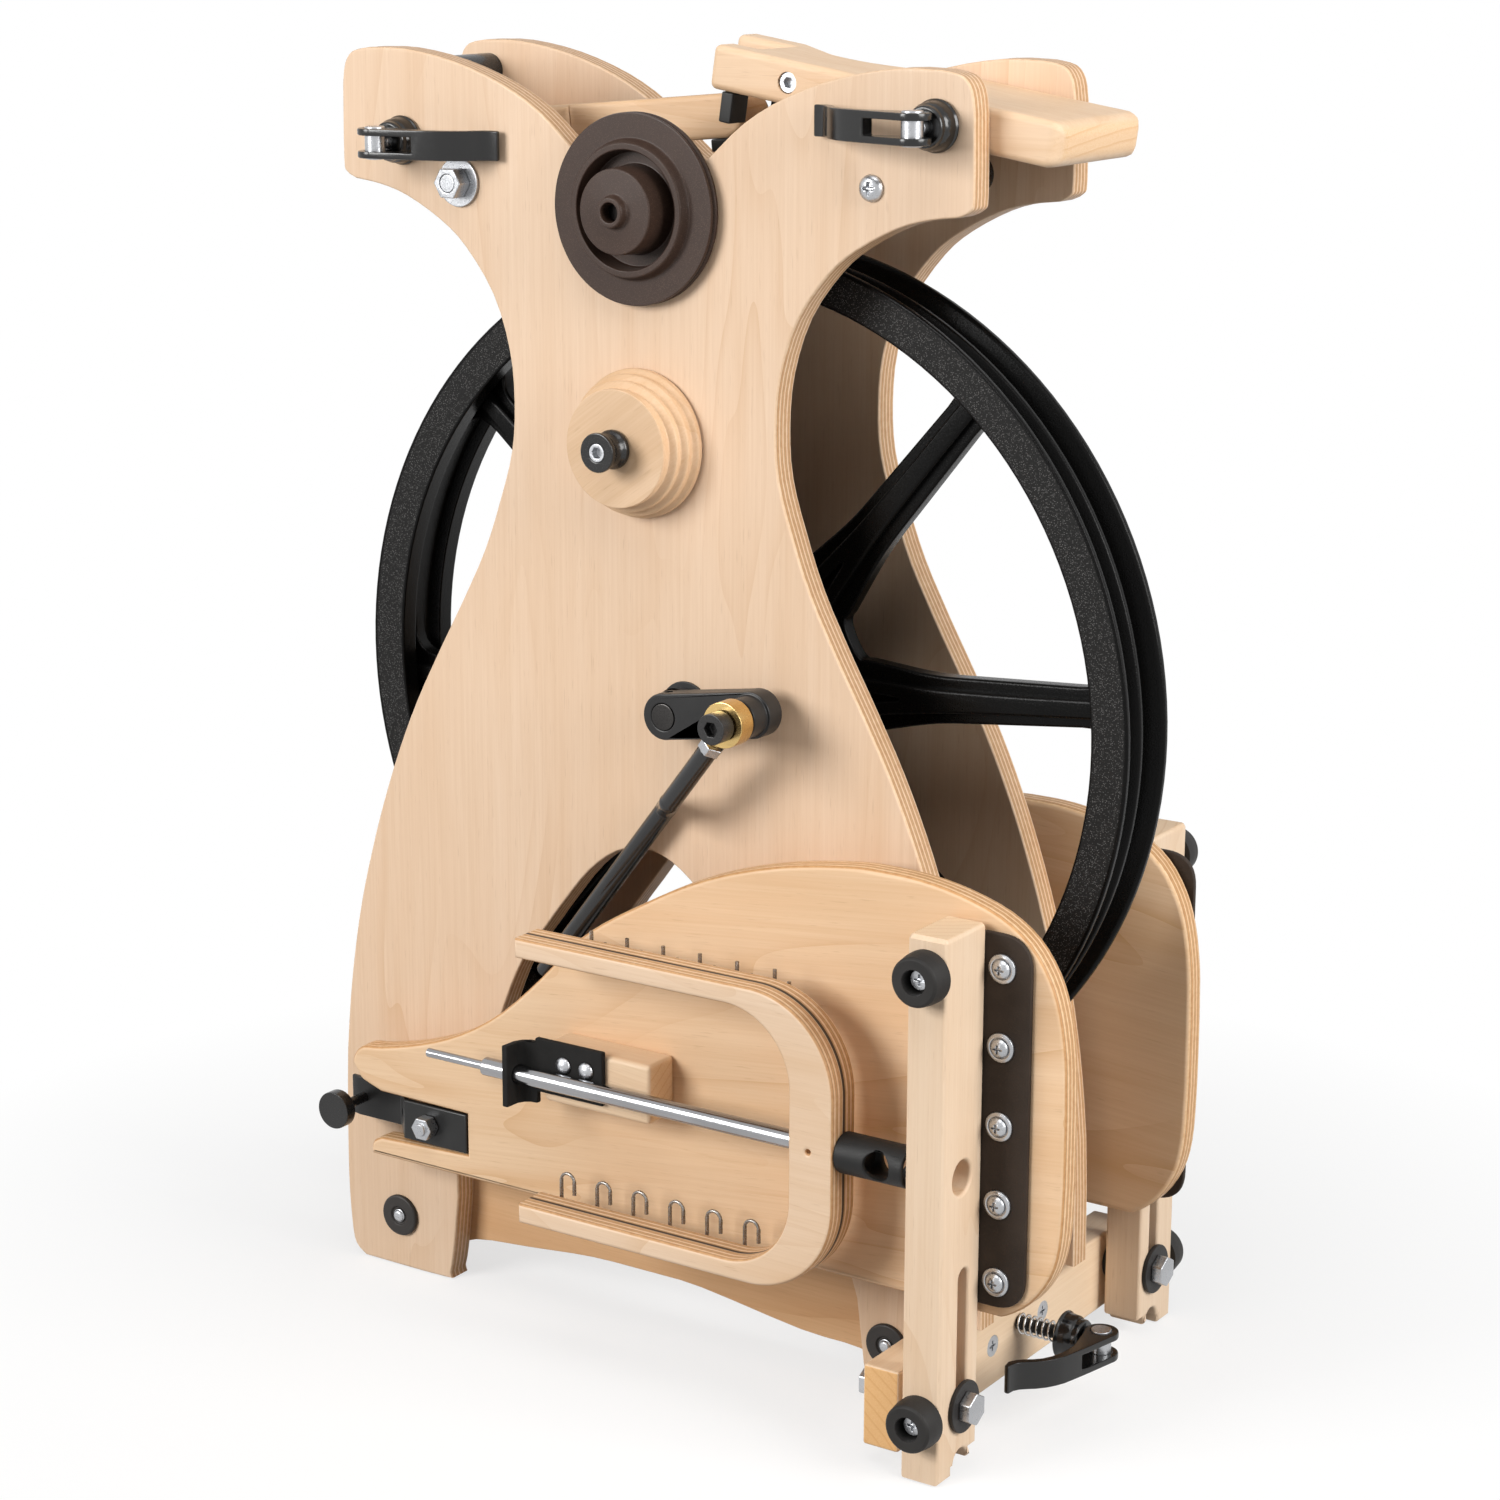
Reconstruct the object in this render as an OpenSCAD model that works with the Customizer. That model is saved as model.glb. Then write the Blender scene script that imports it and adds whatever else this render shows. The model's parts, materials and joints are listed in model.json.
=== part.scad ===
// Folding double-treadle spinning wheel, shown folded for carrying.
// Every size is in millimetres. Floor at z = 0, front of the wheel towards -Y.

/* [Panels] */
// Thickness of the plywood side panels
ply = 12.7; // [11:0.1:14]
// Clear gap between the two side panels
gap = 71.6; // [68:0.1:80]
// Distance from the panels' middle to the middle of the whole folded object
frame_x = 26; // [20:0.05:30]
// Height of the panels' horns above the top of the drive wheel
horn_rise = 78.5; // [74:0.5:90]
// Half width of the panels across the horns
horn_x = 164; // [160:0.5:170]
// Radius of the leg bolts
leg_bolt_r = 3; // [2.5:0.1:4]
// Radial gap of every fixed pin or screw in its hole
fit = 0.05; // [0.02:0.01:0.1]
// Radial gap of every turning or sliding fit
run = 0.06; // [0.02:0.01:0.1]

/* [Wheel] */
// Outer radius of the drive wheel's flanges
wheel_r = 201.5; // [195:0.5:204]
// Width of the drive wheel's rim
wheel_w = 37; // [32:1:40]
// Radial depth of the rim
rim_d = 17.5; // [16:0.5:20]
// Radius of the solid web around the hub
web_r = 62; // [50:1:75]
// Axle position right of the panels' middle
axle_x = 23.7; // [20:0.1:28]
// Axle height above the floor
axle_z = 302.5; // [298:0.5:306]
// Radius of the axle
axle_r = 6; // [5:0.1:7]
// Throw of the cranks
crank_r = 46; // [40:0.5:48]
// Thickness of a crank arm
crank_t = 10; // [8:0.5:12]
// Half width of a crank arm
crank_w = 10.4; // [9:0.1:12]
// Radius of the crank screws
pin_r = 4; // [3:0.1:4.5]
// Radius of the footman tubes
footman_r = 4.5; // [4:0.1:4.6]

/* [Treadles] */
// Thickness of the treadle boards
treadle_t = 11.6; // [10:0.1:12.5]
// Gap between a folded treadle and its panel
treadle_gap = 12.9; // [12.5:0.1:15]
// Thickness of the leather hinge straps
strap_t = 2.5; // [2:0.1:4]
// Width of the slot in the treadle's toe
toe_slot = 20; // [19.6:0.1:22]

/* [Bars] */
// Length of the treadle bars
bar_h = 241; // [236:1:250]
// Thickness of the treadle bars along X
bar_t = 18.5; // [16:0.5:22]
// Depth of the treadle bars along Y
bar_w = 32; // [30:0.5:34]
// Radius of the pivot bolts
bolt_r = 4; // [3.5:0.1:4.5]
// How far a bar slides along its slot
bar_slide = 51; // [44:1:52]
// Height of the rubber feet
foot_h = 11; // [9:0.5:13]
// Radius of the rubber feet
foot_r = 11.5; // [9:0.5:12.5]

/* [Top arms] */
// Thickness of the two maple arms
arm_t = 19; // [16:0.5:21]
// Half width of the fork on the long arm
fork_w = 27; // [24:0.5:30]
// Half width of the short arm's free end
tongue_w = 11.5; // [10:0.1:12]
// Side gap between the short arm and the long arm's fork
fork_gap = 1.5; // [1:0.1:3]
// Radius of the clamp rods
rod_r = 3; // [2.5:0.1:3.5]
// Length of the clamp levers
lever_l = 58; // [50:1:58]

/* [Flyer] */
// Radius of the flyer's shaft
shaft_r = 4.2; // [3.5:0.1:4.4]
// Height of the flyer's axis
flyer_z = 136.6; // [134:0.2:138]
// Half span of the flyer's arms
flyer_s = 67; // [64:0.2:69]
// Thickness of a flyer arm
flyer_a = 9; // [7.5:0.1:10]
// Thickness of the flyer's plywood
flyer_t = 19; // [16:0.5:20]
// Radius of the orifice tube
orifice_r = 9; // [8.4:0.1:9.4]

/* [Hidden] */
$fn = 48;
yi = gap / 2;
yo = yi + ply;
tr_b = yo + treadle_gap;
tr_f = tr_b + treadle_t;
bar_b = tr_f + strap_t;
bar_f = bar_b + bar_w;
rail_x = 170;
rail_b = 152.5;
rail_top = 45;
bar_gap = 3.5;
bar_x = rail_x + bar_gap;
bar_x2 = bar_x + bar_t;
piv_y = bar_f - 19;
piv_z = 30;
slot_l = bar_slide + 7;
crank_f = yo + 18.5;
ring_y = crank_f + 16.5;
crank_a = 8.7;
pin_x = crank_r * cos(crank_a);
pin_z = crank_r * sin(crank_a);
lever_a = 19;
arm_al = -8.42;
arm_bl = 5.6;
horn_top = axle_z + wheel_r + horn_rise;
lqr = [35 - horn_x, horn_top - 40];
rqr = [horn_x - 17.5, horn_top - 22];
tongue_l = rqr[0] - lqr[0] - 127.5;
stop_l = [66.5 - horn_x, horn_top - 57];
stop_r = [horn_x - 48, horn_top - 48.5];
stop_t = [18.5 - horn_x, horn_top - 14];
whorl_z = horn_top - 63.2;
ratio_z = whorl_z - 101;
leg_a = [-145, 26.5];
leg_b = [131, 27.4];
cup_y = yo + 1;
cup_h = 10.5;
cam_r = 7.8;
lever_pin = 4.6;
lev_y = cup_y + cup_h + cam_r + 0.3;
base_cup = bar_x2 + 1;
base_pin = base_cup + cup_h + cam_r + 0.3;
fly_y = bar_f - 7.9;
stow_y = (bar_b + bar_f) / 2;
stow_z = 133.8;
orifice_end = bar_x - 1.2;
yoke_x = 138.8;
birch = [0.87, 0.72, 0.54];
maple = [0.90, 0.76, 0.58];
black = [0.09, 0.09, 0.09];
steel = [0.78, 0.78, 0.80];
brass = [0.72, 0.56, 0.27];
brown = [0.25, 0.17, 0.13];
charcoal = [0.13, 0.13, 0.14];

// Smooth open curve through a list of points
function cat(a, b, c, d, t) =
  0.5 * (2 * b + (c - a) * t + (2 * a - 5 * b + 4 * c - d) * t * t + (3 * b - a - 3 * c + d) * t * t * t);
function at(p, i) = p[max(0, min(len(p) - 1, i))];
function curve(p, n = 3) = [for (i = [0:len(p) - 2]) for (k = [0:n - 1])
  cat(at(p, i - 1), at(p, i), at(p, i + 1), at(p, i + 2), k / n)];
function flip(p) = [for (i = [len(p) - 1:-1:0]) [-p[i][0], p[i][1]]];

// Moves the panels' middle to the shared origin
module sh() { translate([-frame_x, 0, 0]) children(); }
// Makes the back copy of a front piece
module back() { mirror([0, 1, 0]) children(); }
// Board standing in the XZ plane, from y0 to y0 + t
module board(y0, t) { translate([0, y0 + t, 0]) rotate([90, 0, 0]) linear_extrude(t) children(); }
// Rod along Y from y0 to y1
module ycyl(x, z, y0, y1, r) { translate([x, y1, z]) rotate([90, 0, 0]) cylinder(h = y1 - y0, r = r); }
// Rod along X from x0 to x1
module xcyl(y, z, x0, x1, r) { translate([x0, y, z]) rotate([0, 90, 0]) cylinder(h = x1 - x0, r = r); }
// Hexagon along Y
module yhex(x, z, y0, y1, af) {
  translate([x, y1, z]) rotate([90, 0, 0]) linear_extrude(y1 - y0) hexagon(af);
}
// Flat hexagon measured across its flats
module hexagon(af) { polygon([for (i = [0:5]) af / 2 / cos(30) * [cos(60 * i), sin(60 * i)]]); }
// Flat bar with round ends between two points
module link(p, q, r) {
  d = (q - p) / norm(q - p);
  s = (r - 0.15) * [-d[1], d[0]];
  translate(p) circle(r);
  translate(q) circle(r);
  polygon([p + s, p - s, q - s, q + s]);
}
// Tube along Y
module ytube(x, z, y0, y1, r, b) {
  difference() {
    ycyl(x, z, y0, y1, r);
    ycyl(x, z, y0 - 1, y1 + 1, b);
  }
}
// Tube along X
module xtube(y, z, x0, x1, r, b) {
  difference() {
    xcyl(y, z, x0, x1, r);
    xcyl(y, z, x0 - 1, x1 + 1, b);
  }
}

// Points given by their drop below the horns' top
function below(p) = [for (q = p) [q[0], horn_top - q[1]]];
// Half of the panel from the middle of the top edge to the top of the leg
horn = concat(
  curve(below([[0, 55], [12, 53.5], [24, 48.5], [36, 39.5], [53, 25], [74, 13.5], [101, 4.5], [128, 0],
    [horn_x - 16, 0]])),
  curve(below([[horn_x - 16, 0], [horn_x - 6.5, 2], [horn_x - 2, 7.5], [horn_x - 0.5, 16.5]])),
  curve(below([[horn_x - 0.5, 16.5], [horn_x, 49.5], [horn_x - 1.5, 55.5], [horn_x - 7, 58.3]])),
  curve(concat(below([[horn_x - 7, 58.3], [143, 60.2], [128, 64.5], [109, 74.3], [95, 85.5], [80, 105.5],
    [71.5, 129.5]]), [[69.3, 430], [71, 408], [78, 385], [87.3, 361], [100.2, 336.5], [114.6, 311.3],
      [128.4, 285.7],
    [140, 260], [149.8, 234], [158, 208.5], [165, 182.5], [170.2, 156.5], [174, 130.5], [176.5, 105]])));
// Outer edge, sole and inner edge of a whole leg
leg = concat(
  curve([[176.5, 105], [177.5, 78], [178, 40], [176.7, 16], [174.5, 5], [168.3, 0]]),
  curve([[168.3, 0], [119, 0], [115.5, 3], [112.3, 20.7], [109.1, 51]]));
// Outer edge and rail notch of a right leg
leg_notched = concat(
  curve([[176.5, 105], [177.6, 78], [178, rail_top + 0.5]]),
  [[178, rail_top + 0.5], [rail_b, rail_top + 0.5], [rail_b, 8], [120.5, 8]],
  curve([[118.5, 15], [116.5, 31], [114, 51]]));
// Inside of the arch from the leg to its top
arch = curve([[110, 60], [97, 100], [80, 146], [69.3, 169.3], [56, 187.5], [45, 202], [30, 219.8],
  [15, 231], [0, 235.5]]);

// Outline of a whole panel
module panel_shape() {
  polygon(concat(horn, leg_notched, arch, flip(concat(horn, leg, arch))));
}

// One side panel with every hole it carries
module panel() {
  difference() {
    board(-yo, ply) panel_shape();
    ycyl(axle_x, axle_z, -yo - 1, -yi + 1, axle_r + 4 + fit);
    ycyl(lqr[0], lqr[1], -yo - 1, -yi + 1, rod_r + fit);
    ycyl(rqr[0], rqr[1], -yo - 1, -yi + 1, rod_r + fit);
    ycyl(0, whorl_z, -yo - 1, -yi + 1, 3 + fit);
    ycyl(0, ratio_z, -yo - 1, -yi + 1, 4 + fit);
    for (p = [leg_a, leg_b]) ycyl(p[0], p[1], -yo - 1, -yi + 1, leg_bolt_r + fit);
    for (p = [stop_l, stop_r]) ycyl(p[0], p[1], -yo - 1, -yi + 1, bolt_r + fit);
    ycyl(stop_t[0], stop_t[1], -yi - 3, -yi + 1, 8 + fit);
  }
}

module front_panel() { color(birch) sh() panel(); }

module back_panel() { color(birch) sh() back() panel(); }

// One lower stretcher board with its wavy bottom edge
module stretcher() {
  difference() {
    board(-yi + 0.1, 18) polygon(concat([[-163, 60], [-163, 8]],
      curve([[-128, 8], [-110, 16.8], [-77, 20.4], [-40, 24], [-6.5, 24.3], [22, 23.6], [77, 16.3], [109, 15],
        [125, 8]]), [[125, 8], [rail_b - 0.1, 8], [rail_b - 0.1, 60]]));
    for (p = [leg_a, leg_b]) ycyl(p[0], p[1], -yi - 1, -yi + 20, leg_bolt_r + fit);
    xcyl(-yi + 13, 27, rail_b - 14, rail_b + 1, 2.2 + fit);
  }
}

module stretchers() {
  color(maple) sh() {
    stretcher();
    back() stretcher();
  }
}

module base_rail() {
  color(maple) sh() difference() {
    translate([rail_b, -104, 8]) cube([rail_x - rail_b, 208, rail_top - 8]);
    xcyl(-piv_y, piv_z, rail_b - 1, rail_x + 1, bolt_r + run);
    xcyl(piv_y, piv_z, rail_b - 1, rail_x + 1, bolt_r + run);
    xcyl(0, piv_z, rail_b - 1, rail_x + 1, rod_r + fit);
    for (s = [-1, 1]) {
      xcyl(s * (yi - 13), 27, rail_b - 1, rail_x + 1, 2.2 + fit);
      translate([rail_x - 3, s * (yi - 13), 27]) rotate([0, 90, 0]) cylinder(h = 3.1, r1 = 2.2 + fit,
        r2 = 5.2);
    }
  }
}

module rail_screws() {
  color(steel) sh() for (s = [-1, 1]) difference() {
    union() {
      xcyl(s * (yi - 13), 27, rail_b - 13, rail_x - 2, 2.2);
      translate([rail_x - 3, s * (yi - 13), 27]) rotate([0, 90, 0]) cylinder(h = 2.9, r1 = 2.2, r2 = 5);
    }
    translate([rail_x - 1.5, s * (yi - 13) - 0.5, 24.5]) cube([3, 1, 5]);
    translate([rail_x - 1.5, s * (yi - 13) - 2.5, 26.5]) cube([3, 5, 1]);
  }
}

// Black disc with a sunk middle
module leg_washer(p) {
  translate([p[0], -yo - 0.05, p[1]]) rotate([90, 0, 0]) rotate_extrude() polygon([[leg_bolt_r + fit, 0],
    [10.25, 0], [10.25, 1.6], [9.6, 2.2], [4.8, 2.2], [4.4, 1.2], [leg_bolt_r + fit, 1.2]]);
}

module leg_washers() {
  color(black) sh() for (m = [0, 1]) mirror([0, m, 0]) {
    leg_washer(leg_a);
    leg_washer(leg_b);
  }
}

// Leg bolt with its small domed end
module leg_bolt(p) {
  ycyl(p[0], p[1], -yo - 2, -yi + 17, leg_bolt_r);
  translate([p[0], -yo - 1.9, p[1]]) rotate([90, 0, 0]) rotate_extrude() polygon([[0, 0],
    [leg_bolt_r - 0.1, 0],
    [leg_bolt_r - 0.3, 0.8], [leg_bolt_r - 1.2, 1.5], [0, 1.7]]);
}

module leg_bolts() {
  color(steel) sh() for (m = [0, 1]) mirror([0, m, 0]) {
    leg_bolt(leg_a);
    leg_bolt(leg_b);
  }
}

module stop_tubes() {
  color(black) sh() {
    ycyl(stop_t[0], stop_t[1], -yi - 2.9, yi + 2.9, 8);
    ytube(stop_l[0], stop_l[1], -yi + 0.05, yi - 0.05, 10.2, bolt_r + fit);
    ytube(stop_r[0], stop_r[1], -yi + 0.05, yi - 0.05, 9.5, bolt_r + fit);
  }
}

module stop_fasteners() {
  color(steel) sh() {
    difference() {
      union() {
        ycyl(stop_l[0], stop_l[1], -yo - 9.3, yo + 0.1, bolt_r);
        ycyl(stop_l[0], stop_l[1], yo + 0.05, yo + 4.5, 7.5);
      }
      yhex(stop_l[0], stop_l[1], yo + 2, yo + 6, 5);
    }
    ytube(stop_l[0], stop_l[1], -yo - 1.7, -yo - 0.05, 10.85, bolt_r + fit);
    difference() {
      yhex(stop_l[0], stop_l[1], -yo - 9.5, -yo - 1.75, 12.7);
      ycyl(stop_l[0], stop_l[1], -yo - 10, -yo, bolt_r + fit);
    }
    difference() {
      union() {
        ycyl(stop_r[0], stop_r[1], -yo - 1, yo + 1, bolt_r);
        ycyl(stop_r[0], stop_r[1], yo + 0.05, yo + 3, 5.8);
        translate([stop_r[0], -yo - 0.05, stop_r[1]]) rotate([90, 0, 0]) rotate_extrude()
          polygon([[0, 0], [5.8, 0], [5.5, 1.3], [4.4, 2.5], [2.6, 3.3], [0, 3.6]]);
      }
      translate([stop_r[0] - 0.6, -yo - 5, stop_r[1] - 2.7]) cube([1.2, 3.6, 5.4]);
      translate([stop_r[0] - 2.7, -yo - 5, stop_r[1] - 0.6]) cube([5.4, 3.6, 1.2]);
    }
  }
}

// Flanged bush pressed into a panel
module bush() {
  difference() {
    union() {
      ycyl(axle_x, axle_z, -yo - 1.5, -yi + 4, axle_r + 4);
      ycyl(axle_x, axle_z, -yo - 1.5, -yo - 0.05, axle_r + 6.5);
    }
    ycyl(axle_x, axle_z, -yo - 3, -yi + 5, axle_r + run);
  }
}

module axle_bushes() {
  color(black) sh() {
    bush();
    back() bush();
  }
}

// Rod with its lever eye in front and its nut behind
module clamp_rod_y(x, z) {
  ycyl(x, z, -lev_y + lever_pin + 0.3, yo + 12, rod_r);
  ytube(x, z, yo + 0.05, yo + 9, 7.5, rod_r + fit);
}

module clamp_rods() {
  color(steel) sh() {
    clamp_rod_y(lqr[0], lqr[1]);
    clamp_rod_y(rqr[0], rqr[1]);
    xcyl(0, piv_z, rail_b - 14, base_pin - lever_pin - 0.3, rod_r);
    xtube(0, piv_z, rail_b - 9, rail_b - 0.05, 7.5, rod_r + fit);
  }
}

// Bell-shaped clamp cup that the lever's cam bears on
module cup() {
  rotate_extrude() polygon([[rod_r + fit, 0], [10.9, 0], [10.9, 0.9], [10.2, 1.5], [9.7, 6], [8.7, 7.6],
    [8.7, cup_h - 0.8], [8, cup_h], [rod_r + fit, cup_h]]);
}

module clamp_cups() {
  color(black) sh() {
    for (p = [lqr, rqr]) {
      translate([p[0], -cup_y, p[1]]) rotate([90, 0, 0]) cup();
      ytube(p[0], p[1], -cup_y + 0.05, -yo - 0.05, 8.5, rod_r + fit);
    }
    translate([base_cup, 0, piv_z]) rotate([0, 90, 0]) cup();
  }
}

// Coil spring as one unbroken tube
spring_n = 6;
spring_x0 = rail_x + 0.9;
spring_x1 = base_cup - 0.9;
spring_r = 4.3;
spring_w = 0.7;
rings = [for (i = [0:8 * spring_n]) let (a = 45 * i, t = i / (8 * spring_n))
  [for (k = [0:5]) [spring_x0 + t * (spring_x1 - spring_x0) + spring_w * sin(60 * k),
    (spring_r + spring_w * cos(60 * k)) * cos(a), piv_z + (spring_r + spring_w * cos(60 * k)) * sin(a)]]];
function flat(l) = [for (a = l) for (b = a) b];
echo(spring_gap = (spring_x1 - spring_x0) / spring_n - 2 * spring_w);

module base_spring() {
  n = len(rings);
  color(steel) sh() polyhedron(points = flat(rings), faces = concat(
    [[for (k = [0:5]) k]],
    [for (i = [0:n - 2]) for (k = [0:5]) [6 * i + k, 6 * i + 6 + k, 6 * i + 6 + (k + 1) % 6]],
    [for (i = [0:n - 2]) for (k = [0:5]) [6 * i + k, 6 * i + 6 + (k + 1) % 6, 6 * i + (k + 1) % 6]],
    [[for (k = [5:-1:0]) 6 * (n - 1) + k]]));
}

// S-curved clamp lever lying along +X with its cam pin on the local Z axis and its underside towards -Y
module lever() {
  difference() {
    translate([0, 0, -6.5]) linear_extrude(13) union() {
      circle(cam_r);
      polygon([[1.5, -7.5], [12, -0.8], [21, 4.4], [lever_l - 29, 6.4], [lever_l - 22.5, 6.6],
        [lever_l - 18, 5.8],
        [lever_l - 14, 3.9], [lever_l - 10.8, 1.6], [lever_l - 7.5, 0], [lever_l - 3.7, -0.6],
          [lever_l + 0.4, 1.6],
        [lever_l, 4], [lever_l - 4, 3.1], [lever_l - 7, 3.7], [lever_l - 10, 5.3], [lever_l - 13.5, 7.5],
        [lever_l - 18, 9.3], [lever_l - 22.5, 10.3], [lever_l - 27, 10.7], [lever_l - 34, 10.2], [15, 9.4],
        [7, 8.5], [0, cam_r - 0.05], [-0.5, 0]]);
    }
    translate([0, 0, -10]) cylinder(h = 20, r = lever_pin + fit);
    translate([-12, -12, -rod_r - 0.4]) cube([32, 24, 2 * rod_r + 0.8]);
  }
  translate([0, 0, -7.2]) cylinder(h = 14.4, r = lever_pin);
}

module left_lever() {
  color(black) sh() translate([lqr[0], -lev_y, lqr[1]]) rotate([0, 0, lever_a]) mirror([0, 1, 0]) lever();
}

module right_lever() {
  color(black) sh() translate([rqr[0], -lev_y, rqr[1]]) mirror([1, 0, 0]) rotate([0, 0, lever_a])
    mirror([0, 1, 0]) lever();
}

module base_lever() {
  color(black) sh() translate([base_pin, 0, piv_z]) rotate([0, 0, -90 - lever_a]) lever();
}

// Outline of one spoke, along +X from the hub
module spoke_shape() {
  polygon([[12, -17], [web_r + 6, -16], [100, -10.5], [wheel_r - rim_d + 6, -8],
    [wheel_r - rim_d + 6, 8], [100, 10.5], [web_r + 6, 16], [12, 17]]);
}

// Raised rib of one spoke, forking towards the hub
module rib_shape() {
  polygon([[11, 11.5], [11, 18], [102, 5], [wheel_r - rim_d + 6, 4], [wheel_r - rim_d + 6, -4], [102, -5],
    [11, -18], [11, -11.5], [92, 0]]);
}

// Half of the rim's profile: front lip, groove and middle ridge outside, hollow inside
half_rim = [[wheel_r - rim_d + 4.5, -7.5], [wheel_r - rim_d, -9], [wheel_r - rim_d, -wheel_w / 2],
  [wheel_r - 0.8, -wheel_w / 2], [wheel_r, -wheel_w / 2 + 0.8], [wheel_r, -wheel_w / 2 + 6],
    [wheel_r - 9, -6.8],
  [wheel_r - 9, -5.2], [wheel_r - 2.5, -0.6]];

module drive_wheel() {
  n = len(half_rim);
  color(charcoal) sh() translate([axle_x, 0, axle_z]) difference() {
    union() {
      rotate([90, 0, 0]) rotate_extrude($fn = 96) polygon(concat(half_rim,
        [for (i = [n - 1:-1:0]) [half_rim[i][0], -half_rim[i][1]]]));
      board(-4, 8) {
        circle(web_r);
        for (i = [0:7]) rotate(5 + 45 * i) spoke_shape();
      }
      board(-8, 16) for (i = [0:7]) rotate(5 + 45 * i) rib_shape();
      ycyl(0, 0, -24, 24, 26);
    }
    ycyl(0, 0, -40, 40, axle_r + fit);
  }
}

module axle() { color(steel) sh() ycyl(axle_x, axle_z, -crank_f - 0.2, crank_f + 0.2, axle_r); }

// Crank arm with its collar and pin boss
module crank() {
  difference() {
    union() {
      board(-crank_f, crank_t) link([0, 0], [pin_x, pin_z], crank_w);
      ycyl(0, 0, -crank_f + crank_t - 0.5, -yo - 1.8, axle_r + 4);
      ycyl(pin_x, pin_z, -crank_f - 9.6, -crank_f + 1, 9);
      ycyl(pin_x, pin_z, -crank_f - 11.8, -crank_f - 9, 6.3);
    }
    ycyl(0, 0, -crank_f - 1, -yo, axle_r + fit);
    ycyl(pin_x, pin_z, -crank_f - 12, -yo, pin_r + fit);
    translate([0, -crank_f + crank_t / 2, 0]) cylinder(h = 20, r = 2);
  }
}

module cranks() {
  color(black) sh() translate([axle_x, 0, axle_z]) {
    crank();
    back() rotate([0, 180, 0]) crank();
  }
}

// Socket screw that carries a footman ring
module crank_screw() {
  difference() {
    union() {
      ycyl(pin_x, pin_z, -ring_y - 6, -crank_f + crank_t - 0.5, pin_r);
      ycyl(pin_x, pin_z, -ring_y - 13.5, -ring_y - 5.5, 6.75);
    }
    yhex(pin_x, pin_z, -ring_y - 15, -ring_y - 9, 6);
  }
}

module crank_screws() {
  color(black) sh() translate([axle_x, 0, axle_z]) {
    crank_screw();
    back() rotate([0, 180, 0]) crank_screw();
  }
}

// The footman's corner points, measured from the ring's centre
joggle = [-37.5, 10.2, -43];
bend = [-51.2, ring_y - yo - 7.8, -51.4];
tail = bend + [-68, 0, -88.3];
// Rod between two points in space
module strut(p, q, r) {
  d = q - p;
  translate(p) rotate([0, acos(d[2] / norm(d)), atan2(d[1], d[0])]) cylinder(h = norm(d), r = r);
}

// Ring, threaded stem and lock nut of a rod end
module rod_end() {
  u = joggle / norm(joggle);
  difference() {
    union() {
      ycyl(0, 0, -4.5, 4.5, 10);
      strut(8 * u, 24 * u, 3);
    }
    ycyl(0, 0, -6, 6, pin_r + run);
  }
  translate(13.2 * u) rotate([0, acos(u[2]), atan2(u[1], u[0])]) linear_extrude(5) difference() {
    hexagon(10);
    circle(3 + fit);
  }
}

// Glossy tube with its joggle
module footman() {
  u = joggle / norm(joggle);
  difference() {
    union() {
      strut(18.4 * u, joggle, footman_r);
      translate(joggle) sphere(footman_r + 0.2);
      strut(joggle, bend, footman_r);
      translate(bend) sphere(footman_r + 0.2);
      strut(bend, tail, footman_r);
    }
    strut(17 * u, 26 * u, 3 + fit);
  }
}

module front_rod_end() { color(brass) sh() translate([axle_x + pin_x, -ring_y, axle_z + pin_z]) rod_end(); }

module front_footman() { color(black) sh() translate([axle_x + pin_x, -ring_y, axle_z + pin_z]) footman(); }

module back_rod_end() {
  color(brass) sh() translate([axle_x - pin_x, ring_y, axle_z - pin_z]) back() rod_end();
}

module back_footman() {
  color(black) sh() translate([axle_x - pin_x, ring_y, axle_z - pin_z]) back() footman();
}

// Long fork arm, drawn flat: x along the arm from its pivot, y across
module arm_a() {
  w = yi - 0.6;
  color(maple) sh() translate([rqr[0], 0, rqr[1]]) rotate([0, -arm_al, 0]) difference() {
    translate([0, 0, -arm_t / 2]) linear_extrude(arm_t) polygon(concat(
      [[50, -w], [50, w], [-20, w]], curve([[-20, w], [-38, w - 3], [-56, 24], [-72, 15], [-88, 14],
        [-100, 20],
        [-112, fork_w]]), [[-112, fork_w], [-141, fork_w], [-141, tongue_w + fork_gap],
          [-112, tongue_w + fork_gap],
        [-112, -tongue_w - fork_gap], [-126, -tongue_w - fork_gap], [-126, -fork_w], [-84, -fork_w]],
      curve([[-84, -fork_w], [-60, -fork_w], [-40, -w + 2], [-20, -w]])));
    ycyl(0, 0, -yo, yo, rod_r + run);
    ycyl(-87, 0, -fork_w - 1, -fork_w + 6, 4.6);
    ycyl(-87, 0, -fork_w - 1, -fork_w + 30, 2.5 + fit);
  }
}

module arm_a_screw() {
  color(steel) sh() translate([rqr[0], 0, rqr[1]]) rotate([0, -arm_al, 0]) difference() {
    union() {
      ycyl(-87, 0, -fork_w + 1, -fork_w + 5.95, 4.3);
      ycyl(-87, 0, -fork_w + 5, -fork_w + 25, 2.5);
    }
    yhex(-87, 0, -fork_w, -fork_w + 4, 4);
  }
}

module orifice_bearing() {
  color(black) sh() translate([rqr[0], 0, rqr[1]]) rotate([0, -arm_al, 0]) for (s = [-1, 1])
    translate([-119.5, s > 0 ? tongue_w + fork_gap + 0.5 : -fork_w + 1, -arm_t / 2 - 13.05])
      cube([6, fork_w - tongue_w - fork_gap - 1.5, 13]);
}

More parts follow.
